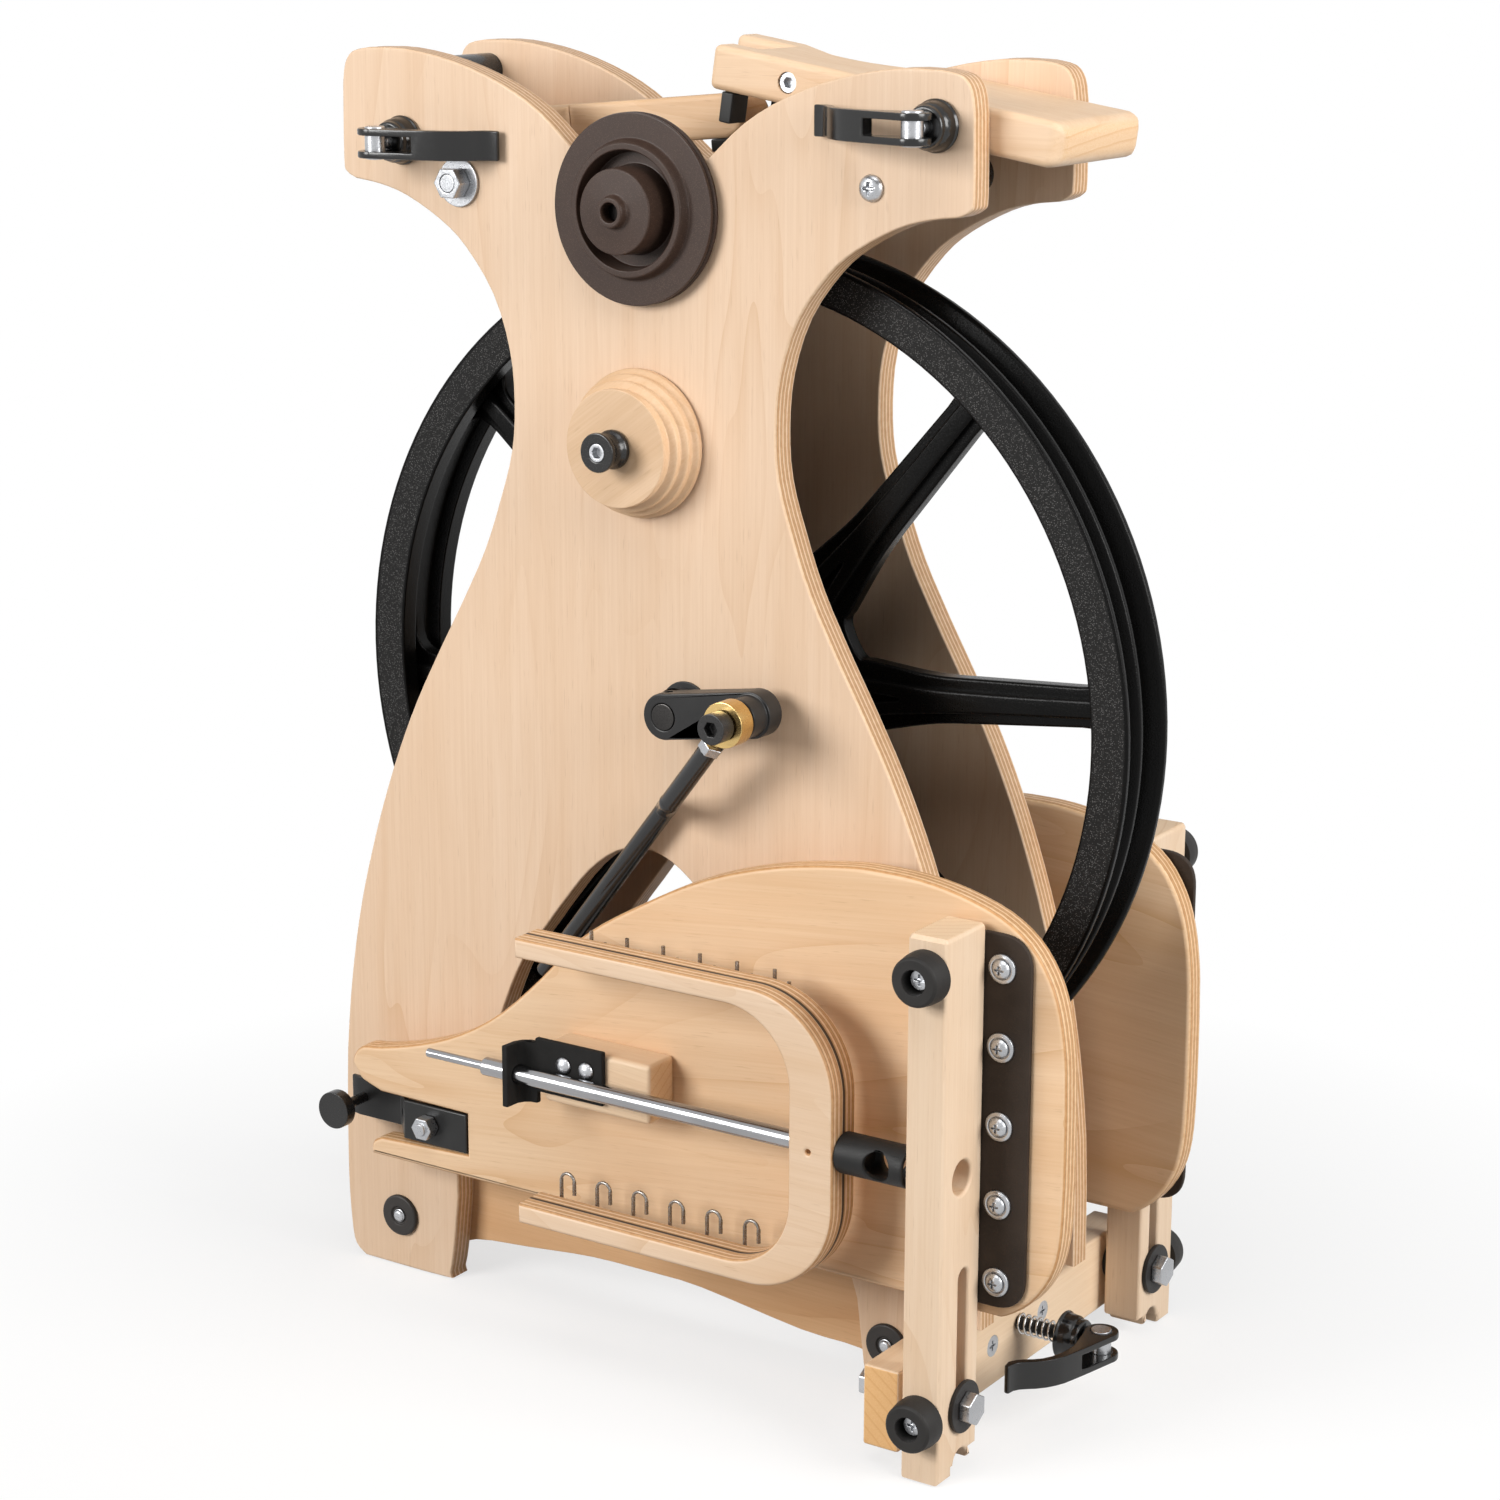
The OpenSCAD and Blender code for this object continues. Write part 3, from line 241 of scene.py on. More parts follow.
def board(node, through, round_over, least=0.0):
    """The flat piece that has the outline and holes of a CAD node's outer face.
    Holes narrower than least are closed, where a screw fills them."""
    sawn = take(node)
    mesh = sawn.data
    low, high, sides = reach_of(sawn)
    k = "XYZ".index(through)
    level = low[k] if abs(low[k]) > abs(high[k]) else high[k]
    uses = {}
    for face in mesh.polygons:
        if abs(face.normal[k]) > 0.999 and abs(face.center[k] - level) < 1e-5:
            for key in face.edge_keys:
                uses[key] = uses.get(key, 0) + 1
    beside = {}
    for (a, b), times in uses.items():
        if times == 1:
            beside.setdefault(a, []).append(b)
            beside.setdefault(b, []).append(a)
    across = 1 if through == "X" else 0
    loops = []
    while beside:
        start = next(iter(beside))
        ring, before, at = [start], None, start
        while True:
            ahead = [n for n in beside[at] if n != before]
            before, at = at, ahead[0]
            if at == start:
                break
            ring.append(at)
        for corner in ring:
            del beside[corner]
        spots = [(mesh.vertices[c].co[across], mesh.vertices[c].co.z) for c in ring]
        if max(s[0] for s in spots) - min(s[0] for s in spots) >= least:
            loops.append(spots)
    bpy.data.objects.remove(sawn)
    return flat_piece(node + "_piece", loops, through, (low[k] + high[k]) / 2, sides[k], round_over)


def settle(piece, node, material, name=None, stands_in=True):
    """Gives a finished piece its name, its material and its body, and hides the CAD node it stands in for, unless
    stands_in is false.
    """
    piece.name = name or node + "_piece"
    piece.data.materials.append(material)
    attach(piece, body_of[node])
    if stands_in:
        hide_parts(node)
    return piece


def group_with(name, ins, outs):
    """An empty shader group with named value or vector sockets."""
    group = bpy.data.node_groups.new(name, "ShaderNodeTree")
    kinds = {"value": "NodeSocketFloat", "vector": "NodeSocketVector"}
    for label, kind in ins:
        group.interface.new_socket(label, in_out="INPUT", socket_type=kinds[kind])
    for label in outs:
        group.interface.new_socket(label, in_out="OUTPUT", socket_type=kinds["value"])
    return group, group.nodes.new("NodeGroupInput"), group.nodes.new("NodeGroupOutput")


def noise(tree, vector, scale, detail=3.0, rough=0.5, bend=0.0):
    """Smooth noise from 0 to 1."""
    return put(tree, "ShaderNodeTexNoise", Vector=vector, Scale=scale, Detail=detail, Roughness=rough,
               Distortion=bend).outputs[0]


def stretched(tree, vector, along, across):
    """The vector with its X axis scaled by one number and the other two by another."""
    return put(tree, "ShaderNodeMapping", Vector=vector, Scale=(along, across, across)).outputs[0]


def ramp(tree, value, *stops):
    """A colour ramp through (place, colour) stops."""
    made = put(tree, "ShaderNodeValToRGB", Fac=value)
    band = made.color_ramp
    while len(band.elements) > 1:
        band.elements.remove(band.elements[-1])
    for k, (place, colour) in enumerate(stops):
        stop = band.elements[0] if k == 0 else band.elements.new(place)
        stop.position = place
        stop.color = (*colour[:3], 1.0)
    return made.outputs[0]


def blend_colour(tree, mask, first, second, how="MIX"):
    """Mixes two colours by a mask."""
    return put(tree, "ShaderNodeMix", {"data_type": "RGBA", "blend_type": how}, i0=mask, i6=first,
               i7=second).outputs[2]


def shade(colour, *factors):
    """A colour with its channels multiplied, as an RGBA value."""
    factors = factors * 3 if len(factors) == 1 else factors
    return (*[c * f for c, f in zip(colour, factors)], 1.0)


# Wood figure along the X axis of the vector: slow colour, growth lines, fibres and short dark flecks.
grain, grain_in, grain_out = group_with("timber_grain", [("Vector", "vector")],
                                        ["Figure", "Lines", "Fibre", "Fleck", "Height"])
laid_out = grain_in.outputs["Vector"]
slow = noise(grain, stretched(grain, laid_out, 3.2, 24.0), 1.0, 3.0, 0.55, 0.9)
streaks = noise(grain, stretched(grain, laid_out, 1.5, 60.0), 1.6, 2.0, 0.5, 1.5)
fibres = noise(grain, stretched(grain, laid_out, 14.0, 900.0), 1.0, 4.0, 0.65)
dashes = noise(grain, stretched(grain, laid_out, 90.0, 1500.0), 1.0, 1.0, 0.5)
growth = noise(grain, stretched(grain, laid_out, 2.4, 13.0), 1.0, 2.0, 0.45, 0.5)
contour = maths(grain, "FRACT", maths(grain, "MULTIPLY", growth, 11.0))
growth_lines = maths(grain, "POWER", contour, 5.0)
strength = span(grain, noise(grain, stretched(grain, laid_out, 5.0, 20.0), 1.0, 2.0), 0.42, 0.62)
figure = maths(grain, "ADD", maths(grain, "MULTIPLY", slow, 0.62), maths(grain, "MULTIPLY", streaks, 0.38))
grain.links.new(figure, grain_out.inputs["Figure"])
grain.links.new(maths(grain, "MULTIPLY", growth_lines, strength), grain_out.inputs["Lines"])
grain.links.new(fibres, grain_out.inputs["Fibre"])
flecks = span(grain, dashes, 0.66, 0.8)
grain.links.new(flecks, grain_out.inputs["Fleck"])
grain.links.new(maths(grain, "SUBTRACT", fibres, maths(grain, "MULTIPLY", flecks, 0.6)), grain_out.inputs["Height"])

# Plies: alternate layers and dark glue lines, by depth below the face in metres.
plies, plies_in, plies_out = group_with(
    "ply_layers", [("Depth", "value"), ("Pitch", "value"), ("Wander", "vector")], ["Layer", "Glue"])
wander = maths(plies, "SUBTRACT", noise(plies, plies_in.outputs["Wander"], 22.0), 0.5)
depth_here = maths(plies, "MULTIPLY_ADD", wander, 0.0004, plies_in.outputs["Depth"])
count = maths(plies, "DIVIDE", depth_here, plies_in.outputs["Pitch"])
plies.links.new(maths(plies, "PINGPONG", maths(plies, "FLOOR", count), 1.0), plies_out.inputs["Layer"])
off_layer = maths(plies, "ABSOLUTE", maths(plies, "SUBTRACT", maths(plies, "FRACT", count), 0.5))
plies.links.new(span(plies, off_layer, 0.36, 0.47), plies_out.inputs["Glue"])


def blank(name):
    """A new material with only its shader and output; gives material, tree and shader."""
    made = bpy.data.materials.new(name)
    made.use_nodes = True
    tree = made.node_tree
    tree.nodes.clear()
    shader = put(tree, "ShaderNodeBsdfPrincipled")
    put(tree, "ShaderNodeOutputMaterial", Surface=shader.outputs[0])
    return made, tree, shader


def vector_maths(tree, operation, first, second=(0.0, 0.0, 0.0)):
    """One vector node; gives the node, whose outputs are a vector and a value."""
    return put(tree, "ShaderNodeVectorMath", {"operation": operation}, i0=first, i1=second)


def ply_edge(tree, place, depth, pitch, pale, warm, core):
    """The sawn edge of plywood: pale and dark layers, glue lines and an optional dark core at one depth."""
    layers = put(tree, "ShaderNodeGroup", {"node_tree": plies}, Depth=depth, Pitch=pitch, Wander=place)
    cross = noise(tree, place, 420.0, 3.0, 0.6)
    light_ply = ramp(tree, cross, (0.3, shade(pale, 1.0, 0.97, 0.90)), (0.7, shade(warm, 0.98, 0.94, 0.86)))
    dark_ply = ramp(tree, cross, (0.3, shade(warm, 0.84, 0.72, 0.56)), (0.7, shade(warm, 0.68, 0.52, 0.36)))
    edge = blend_colour(tree, layers.outputs["Layer"], light_ply, dark_ply)
    glue = maths(tree, "MULTIPLY", layers.outputs["Glue"], 0.7)
    edge = blend_colour(tree, glue, edge, (0.22, 0.105, 0.04, 1.0))
    if core:
        off_core = maths(tree, "ABSOLUTE", maths(tree, "SUBTRACT", depth, core))
        edge = blend_colour(tree, span(tree, off_core, 0.0012, 0.0007), edge, (0.045, 0.028, 0.02, 1.0))
    return edge


def end_grain(tree, place, axis, pale, warm, tone):
    """The sawn end of solid wood: year rings about a pith that lies off the piece, and fine pores."""
    keep = {"X": (0.0, 1.0, 1.0), "Y": (1.0, 0.0, 1.0), "Z": (1.0, 1.0, 0.0)}[axis]
    pith = vector_maths(tree, "SUBTRACT", place, (0.05, 0.06, -0.07)).outputs[0]
    wavy = maths(tree, "MULTIPLY", noise(tree, place, 60.0, 2.0), 0.0016)
    from_pith = vector_maths(tree, "MULTIPLY", pith, keep).outputs[0]
    year = vector_maths(tree, "LENGTH", from_pith).outputs["Value"]
    rings = maths(tree, "FRACT", maths(tree, "DIVIDE", maths(tree, "ADD", year, wavy), 0.0047))
    late = maths(tree, "MULTIPLY", span(tree, rings, 0.72, 0.95), span(tree, rings, 1.0, 0.96))
    pores = noise(tree, place, 1900.0, 2.0)
    cut = ramp(tree, pores, (0.3, shade(pale, 0.96, 0.91, 0.83)), (0.7, shade(warm, 1.0, 0.96, 0.88)))
    cut = blend_colour(tree, maths(tree, "MULTIPLY", late, 0.55), cut, shade(warm, 0.86, 0.72, 0.54))
    return blend_colour(tree, 1.0, cut, (*tone, 1.0), "MULTIPLY")


def timber(name, pale, warm, turn=(0.0, 0.0, 0.0), shift=(0.0, 0.0, 0.0), ply=None, core=None, end=None,
           lines=0.42, end_tone=(1.0, 1.0, 1.0)):
    """Oiled wood. turn and shift lay the grain, ply = (face depth, pitch) adds laminations to the edges,
    and end names the axis whose faces show end grain, tinted by end_tone."""
    made, tree, shader = blank(name)
    coordinates = put(tree, "ShaderNodeTexCoord")
    place = coordinates.outputs["Object"]
    laid = put(tree, "ShaderNodeMapping", Vector=place, Rotation=turn, Location=shift).outputs[0]
    wood = put(tree, "ShaderNodeGroup", {"node_tree": grain}, Vector=laid)
    middle = tuple(0.55 * p + 0.45 * w for p, w in zip(pale, warm))
    face = ramp(tree, wood.outputs["Figure"], (0.30, pale), (0.52, middle), (0.72, warm))
    line_mask = maths(tree, "MULTIPLY", wood.outputs["Lines"], lines)
    face = blend_colour(tree, line_mask, face, shade(warm, 0.84, 0.72, 0.56))
    fibre_mask = span(tree, wood.outputs["Fibre"], 0.35, 0.75, 0.0, 0.34)
    face = blend_colour(tree, fibre_mask, face, shade(warm, 0.86, 0.80, 0.70))
    fleck_mask = maths(tree, "MULTIPLY", wood.outputs["Fleck"], 0.26)
    colour = face = blend_colour(tree, fleck_mask, face, shade(warm, 0.62, 0.52, 0.42))
    facing = put(tree, "ShaderNodeSeparateXYZ", Vector=coordinates.outputs["Normal"])
    if ply:
        axes = put(tree, "ShaderNodeSeparateXYZ", Vector=place)
        depth = maths(tree, "SUBTRACT", maths(tree, "ABSOLUTE", axes.outputs["Y"]), ply[0])
        edge = ply_edge(tree, place, depth, ply[1], pale, warm, core)
        flat = span(tree, maths(tree, "ABSOLUTE", facing.outputs["Y"]), 0.72, 0.86)
        colour = blend_colour(tree, flat, edge, face)
    if end:
        cut = end_grain(tree, place, end, pale, warm, end_tone)
        square = span(tree, maths(tree, "ABSOLUTE", facing.outputs[end]), 0.80, 0.92)
        colour = blend_colour(tree, square, colour, cut)
    tree.links.new(colour, shader.inputs["Base Color"])
    tree.links.new(span(tree, wood.outputs["Fibre"], 0.0, 1.0, 0.42, 0.58), shader.inputs["Roughness"])
    bump = put(tree, "ShaderNodeBump", Strength=0.08, Distance=0.0004, Height=wood.outputs["Height"])
    tree.links.new(bump.outputs[0], shader.inputs["Normal"])
    shader.inputs["Specular IOR Level"].default_value = 0.35
    return made


UPRIGHT = (0.0, math.radians(90), 0.0)
SCREW_HOLE = 0.009
for k, node in enumerate(("front_panel", "back_panel")):
    veneer = timber(node + "_birch", (0.80, 0.605, 0.445), (0.725, 0.505, 0.335), turn=UPRIGHT,
                    shift=(0.3 * k, 0.1, 0.0), ply=(0.0358, 0.00141))
    settle(board(node, "Y", round_over=0.0009, least=SCREW_HOLE), node, veneer)


# Lower frame: two long stretchers inside the legs and a short base rail across them, sawn from solid maple.
# The grain runs along each board; the rail carries the treadle bars and is held by two screws.
def ease(piece, width, shortest=0.0008, corner=28.0, rounds=2, bold=None):
    """Rounds every sharp edge that is longer than the shortest one worth easing.
    Where bold is given, edges at the spots that it picks get the full width and the rest under half of it."""
    mesh = piece.data
    weights = mesh.attributes.new("bevel_weight_edge", "FLOAT", "EDGE")
    sides = {}
    for face in mesh.polygons:
        for key in face.edge_keys:
            sides.setdefault(key, []).append(face.normal)
    for edge in mesh.edges:
        pair = sides.get(edge.key, [])
        ends = [mesh.vertices[i].co for i in edge.vertices]
        if len(pair) == 2 and (ends[0] - ends[1]).length > shortest:
            if pair[0].angle(pair[1], 0.0) > math.radians(corner):
                full = bold is None or bold((ends[0] + ends[1]) / 2)
                weights.data[edge.index].value = 1.0 if full else 0.45
    only(piece)
    eased = piece.modifiers.new("eased_edges", "BEVEL")
    eased.width = width
    eased.segments = rounds
    eased.limit_method = "WEIGHT"
    eased.use_clamp_overlap = False
    eased.loop_slide = False
    bpy.ops.object.modifier_apply(modifier="eased_edges")
    return smooth(piece)


def dress(node, material, width, shortest=0.0008, corner=28.0, rounds=2):
    """The whole of one CAD node, eased and dressed in one material."""
    return settle(ease(take(node), width, shortest, corner, rounds), node, material)


ACROSS = (0.0, 0.0, math.radians(90))
dress("stretchers", timber("stretcher_maple", (0.74, 0.47, 0.26), (0.62, 0.35, 0.17), end="X"), width=0.0012)
dress("base_rail", timber("rail_maple", (0.87, 0.68, 0.49), (0.79, 0.57, 0.37), turn=ACROSS, end="Y",
                          end_tone=(0.97, 0.80, 0.56)), width=0.0012)

# Treadles: plywood foot boards with the same pale veneer, its grain along the foot, edges rounded by hand.
# The heel is hinged to the bar by leather; the toe is slotted for the connector.
for node, tilt, along in (("front_treadle", 6.0, 0.0), ("back_treadle", -5.0, 0.4)):
    veneer = timber(node + "_birch", (0.84, 0.61, 0.405), (0.74, 0.485, 0.28),
                    turn=(0.0, math.radians(tilt), 0.0), shift=(along, 0.0, 0.2), ply=(0.0614, 0.00145), lines=0.62)
    settle(board(node, "Y", round_over=0.0022, least=SCREW_HOLE), node, veneer)

# Treadle bars: square bars of solid maple, slotted for the pivot bolt and drilled for stowing the flyer.
# Their ends are notched, and their long edges are rounded over on a router.
for k, node in enumerate(("front_bar", "back_bar")):
    maple = timber(node + "_maple", (0.845, 0.665, 0.495), (0.78, 0.575, 0.40), turn=UPRIGHT,
                   shift=(0.7, 0.2 + 0.1 * k, 0.3), end="Z")
    settle(board(node, "X", round_over=0.0016), node, maple)

# Top arms: two solid maple arms folded down on each other, shaped on a router, sanded and oiled.
# Each swings on a clamp rod; the long arm is rounded most at its free tip, where it is carried.
ARM_TIP = 0.012
arm_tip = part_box("arm_a")[1][0] - ARM_TIP
settle(ease(take("arm_a"), width=0.0068, rounds=4, bold=lambda spot: spot.x > arm_tip), "arm_a",
       timber("long_arm_maple", (0.84, 0.635, 0.45), (0.75, 0.51, 0.315), shift=(0.0, 0.2, 0.0), end="X"))
dress("arm_b", timber("short_arm_maple", (0.81, 0.57, 0.365), (0.71, 0.44, 0.24), shift=(0.4, 0.0, 0.0), end="X"),
      width=0.0026, rounds=3)

# Flyer yoke: a U sawn from two plywood sheets glued face to face, with a dark sheet between them.
# The small maple block behind it is glued to the treadle and holds the shaft while the wheel is folded.
settle(board("flyer_yoke", "Y", round_over=0.0016), "flyer_yoke",
       timber("flyer_birch", (0.815, 0.62, 0.455), (0.745, 0.525, 0.345), ply=(0.0901, 0.00158), core=0.0095))
dress("holder_block", timber("holder_maple", (0.86, 0.665, 0.475), (0.77, 0.535, 0.335),
                             turn=(0.0, math.radians(-5), 0.0), shift=(0.2, 0.3, 0.1), end="X"),
      width=0.0022, rounds=3)

# Stepped whorl: a maple disc turned on a lathe, with three band grooves cut round it.
# It turns on a screw in the front panel and is held on by the thumb knob.
dress("stepped_whorl", timber("stepped_whorl_maple", (0.76, 0.545, 0.365), (0.64, 0.415, 0.235),
                              turn=(0.0, math.radians(35), 0.0), shift=(0.1, 0.6, 0.2)),
      width=0.0006, shortest=0.0002)


# Drive wheel: one moulded black wheel with eight ribbed spokes and two band grooves round its rim.
# The flat faces are left speckled from the mould, and the lips and grooves are smooth and shiny.
fine, fine_in, fine_out = group_with("fine_surface", [("Vector", "vector"), ("Grain Size", "value")],
                                     ["Mottle", "Grain", "Speck", "Scratch"])
here = fine_in.outputs["Vector"]
per_grain = maths(fine, "DIVIDE", 1.0, fine_in.outputs["Grain Size"])
fine.links.new(noise(fine, here, 35.0, 3.0, 0.6), fine_out.inputs["Mottle"])
fine.links.new(noise(fine, here, per_grain, 3.0, 0.6), fine_out.inputs["Grain"])
cells = put(fine, "ShaderNodeTexVoronoi", Vector=here, Scale=per_grain)
chosen = put(fine, "ShaderNodeSeparateXYZ", Vector=cells.outputs["Color"])
dot = span(fine, cells.outputs["Distance"], 0.42, 0.22)
fine.links.new(maths(fine, "MULTIPLY", dot, span(fine, chosen.outputs["X"], 0.25, 0.75)), fine_out.inputs["Speck"])
hair = noise(fine, stretched(fine, here, 60.0, 2600.0), 1.0, 2.0, 0.6)
fine.links.new(hair, fine_out.inputs["Scratch"])


def wheel_band(tree, coordinates, middle_x, middle_z, inner, outer):
    """1 on the flat outer faces of a wheel between two radii, and 0 in its grooves and on its spokes."""
    away = vector_maths(tree, "SUBTRACT", coordinates.outputs["Object"], (middle_x, 0.0, middle_z)).outputs[0]
    flat = vector_maths(tree, "MULTIPLY", away, (1.0, 0.0, 1.0)).outputs[0]
    radius = vector_maths(tree, "LENGTH", flat).outputs["Value"]
    between = maths(tree, "MULTIPLY", span(tree, radius, inner, inner + 0.0008),
                    span(tree, radius, outer, outer - 0.0008))
    facing = put(tree, "ShaderNodeSeparateXYZ", Vector=coordinates.outputs["Normal"])
    level = span(tree, maths(tree, "ABSOLUTE", facing.outputs["Y"]), 0.85, 0.95)
    across = put(tree, "ShaderNodeSeparateXYZ", Vector=coordinates.outputs["Object"])
    outside = span(tree, maths(tree, "ABSOLUTE", across.outputs["Y"]), 0.0176, 0.0181)
    return maths(tree, "MULTIPLY", maths(tree, "MULTIPLY", between, level), outside)


def coated(name, colour, rough=0.4, shine=0.35, grain_size=0.0006, bumpy=0.05, varied=0.25, speck=None, bands=None):
    """Moulded, painted or rubber surface: a soft mottle, a fine grain in gloss and height, and optional pale
    specks. bands = (centre x, centre z, inner radius, outer radius) keeps the specks to the flat faces of a wheel."""
    made, tree, shader = blank(name)
    coordinates = put(tree, "ShaderNodeTexCoord")
    skin = put(tree, "ShaderNodeGroup", {"node_tree": fine}, Vector=coordinates.outputs["Object"],
               Grain_Size=grain_size)
    base = blend_colour(tree, span(tree, skin.outputs["Mottle"], 0.3, 0.7), shade(colour, 1.0 - varied),
                        shade(colour, 1.0 + varied))
    base = blend_colour(tree, span(tree, skin.outputs["Grain"], 0.55, 0.75, 0.0, 0.5), base, shade(colour, 1.6))
    gloss = span(tree, skin.outputs["Grain"], 0.25, 0.75, max(rough - 0.08, 0.05), rough + 0.10)
    if speck:
        dots = skin.outputs["Speck"]
        if bands:
            band = wheel_band(tree, coordinates, *bands)
            dots = maths(tree, "MULTIPLY", dots, span(tree, band, 0.0, 1.0, 0.02, 1.0))
            base = blend_colour(tree, maths(tree, "MULTIPLY", band, 0.07), base, (*speck, 1.0))
            gloss = maths(tree, "ADD", gloss, maths(tree, "MULTIPLY", band, 0.25))
        base = blend_colour(tree, dots, base, (*speck, 1.0))
    tree.links.new(base, shader.inputs["Base Color"])
    tree.links.new(gloss, shader.inputs["Roughness"])
    bump = put(tree, "ShaderNodeBump", Strength=bumpy, Distance=0.0003, Height=skin.outputs["Grain"])
    tree.links.new(bump.outputs[0], shader.inputs["Normal"])
    shader.inputs["Specular IOR Level"].default_value = shine
    return made


HUB_X, HUB_Z = -0.0023, 0.3025
RIM_OUT, RIM_IN, RIM_HALF = 0.2015, 0.184, 0.0185
WEB_IN, WEB_OUT, WEB_BORE, WEB_THICK = 0.062, RIM_IN + 0.0088, 0.020, 0.008
WINDOW_OUT, WINDOW_INSET = RIM_IN + 0.0050, 0.20
HUB_BORE, HUB_OUT, HUB_HALF = 0.0061, 0.026, 0.024
RIB_THICK = 0.016
SPOKES, FIRST, APART = 8, math.radians(5.0), math.radians(45.0)


def rounded(corners, reach, steps=6):
    """A closed outline with each corner drawn round; reach is how far back from each corner the curve starts."""
    line = []
    for k, corner in enumerate(corners):
        here, last, ahead = Vector(corner), Vector(corners[k - 1]), Vector(corners[(k + 1) % len(corners)])
        if reach[k] == 0.0:
            line.append(tuple(here))
            continue
        start = here + (last - here).normalized() * min(reach[k], (last - here).length * 0.5)
        end = here + (ahead - here).normalized() * min(reach[k], (ahead - here).length * 0.5)
        for n in range(steps + 1):
            t = n / steps
            line.append(tuple(start * (1 - t) ** 2 + here * 2 * t * (1 - t) + end * t ** 2))
    return line


def turned(name, profile, steps):
    """A ring turned about the axle line from a closed profile of (radius, depth) points."""
    blank_ring = bpy.data.meshes.new(name)
    count = len(profile)
    blank_ring.from_pydata([(HUB_X + r, y, HUB_Z) for r, y in profile],
                           [(k, (k + 1) % count) for k in range(count)], [])
    piece = bpy.data.objects.new(name, blank_ring)
    scene.collection.objects.link(piece)
    only(piece)
    bpy.ops.object.mode_set(mode="EDIT")
    bpy.ops.mesh.select_all(action="SELECT")
    bpy.ops.mesh.spin(steps=steps, angle=2 * math.pi, center=(HUB_X, 0.0, HUB_Z), axis=(0.0, 1.0, 0.0))
    bpy.ops.object.mode_set(mode="OBJECT")
    weld(piece)
    return piece


def on_circle(radius, turn):
    """A point round the axle."""
    return HUB_X + radius * math.cos(turn), HUB_Z + radius * math.sin(turn)


def spoke_spot(number, along, across):
    """A point on one spoke, measured along it from the axle and across it."""
    turn = FIRST + APART * number
    return (HUB_X + along * math.cos(turn) - across * math.sin(turn),
            HUB_Z + along * math.sin(turn) + across * math.cos(turn))


half_rim = [(RIM_IN + 0.0045, -0.0075), (RIM_IN, -0.009), (RIM_IN, -RIM_HALF), (RIM_OUT, -RIM_HALF),
            (RIM_OUT, -0.0158), (RIM_OUT - 0.0012, -0.0148), (RIM_OUT - 0.0100, -0.0118),
            (RIM_OUT - 0.0108, -0.0080), (RIM_OUT - 0.0100, -0.0046), (RIM_OUT - 0.0028, -0.0014)]
rim_reach = [0.0, 0.0008, 0.0011, 0.0008, 0.0007, 0.0006, 0.0012, 0.0012, 0.0012, 0.0009]
rim_profile = rounded(half_rim + [(r, -y) for r, y in reversed(half_rim)], rim_reach + rim_reach[::-1], steps=3)
rim = turned("drive_wheel_piece", rim_profile, steps=144)
hub_profile = rounded([(HUB_BORE, -HUB_HALF), (HUB_OUT, -HUB_HALF), (HUB_OUT, HUB_HALF), (HUB_BORE, HUB_HALF)],
                      [0.0005, 0.0012, 0.0012, 0.0005], steps=3)
hub = turned("hub", hub_profile, steps=64)
window_side = [(WEB_IN, 0.0162), (0.068, 0.016), (0.100, 0.0105), (RIM_IN + 0.0046, 0.0085)]
side_reach = [0.009, 0.0, 0.012, 0.017]
windows = []
for number in range(SPOKES):
    near = [spoke_spot(number, r, across) for r, across in window_side]
    far = [spoke_spot(number + 1, r, -across) for r, across in reversed(window_side)]
    low_turn = FIRST + APART * number + WINDOW_INSET
    high_turn = FIRST + APART * (number + 1) - WINDOW_INSET
    arc = [on_circle(WINDOW_OUT, low_turn + (high_turn - low_turn) * n / 8) for n in range(9)]
    windows.append(rounded(near + arc + far, side_reach + [0.0] * len(arc) + side_reach[::-1]))
edge = [on_circle(WEB_OUT, math.radians(n * 3)) for n in range(120)]
bore = [on_circle(WEB_BORE, math.radians(n * 9)) for n in range(40)]
web = flat_piece("web", [edge, bore] + windows, "Y", middle=0.0, thick=WEB_THICK, round_over=0.0014)
rib_side = [(0.0215, 0.0165), (0.040, 0.0122), (0.070, 0.0080), (0.102, 0.0054), (0.140, 0.0045),
            (RIM_IN + 0.002, 0.0042)]
rib_fork = [(0.086, 0.0), (0.060, 0.0032), (0.0215, 0.0100)]
rib_corners = rib_fork + rib_side + [(r, -across) for r, across in reversed(rib_fork[1:] + rib_side)]
rib_side_reach = [0.0, 0.008, 0.012, 0.012, 0.012, 0.0]
rib_reach = [0.004, 0.012, 0.0] + rib_side_reach + rib_side_reach[::-1] + [0.0, 0.012]
rib_outline = rounded(rib_corners, rib_reach)
ribs = [[spoke_spot(number, r, across) for r, across in rib_outline] for number in range(SPOKES)]
rib = flat_piece("ribs", ribs, "Y", middle=0.0, thick=RIB_THICK, round_over=0.0016)
only(rim)
for part in (hub, web, rib):
    part.select_set(True)
bpy.ops.object.join()
wheel_moulding = coated("wheel_moulding", (0.0028, 0.0027, 0.0026), rough=0.20, shine=0.10, grain_size=0.0006,
                        bumpy=0.35, varied=0.2, speck=(0.15, 0.146, 0.144), bands=(HUB_X, HUB_Z, 0.1848, 0.2002))
settle(smooth(rim), "drive_wheel", wheel_moulding)


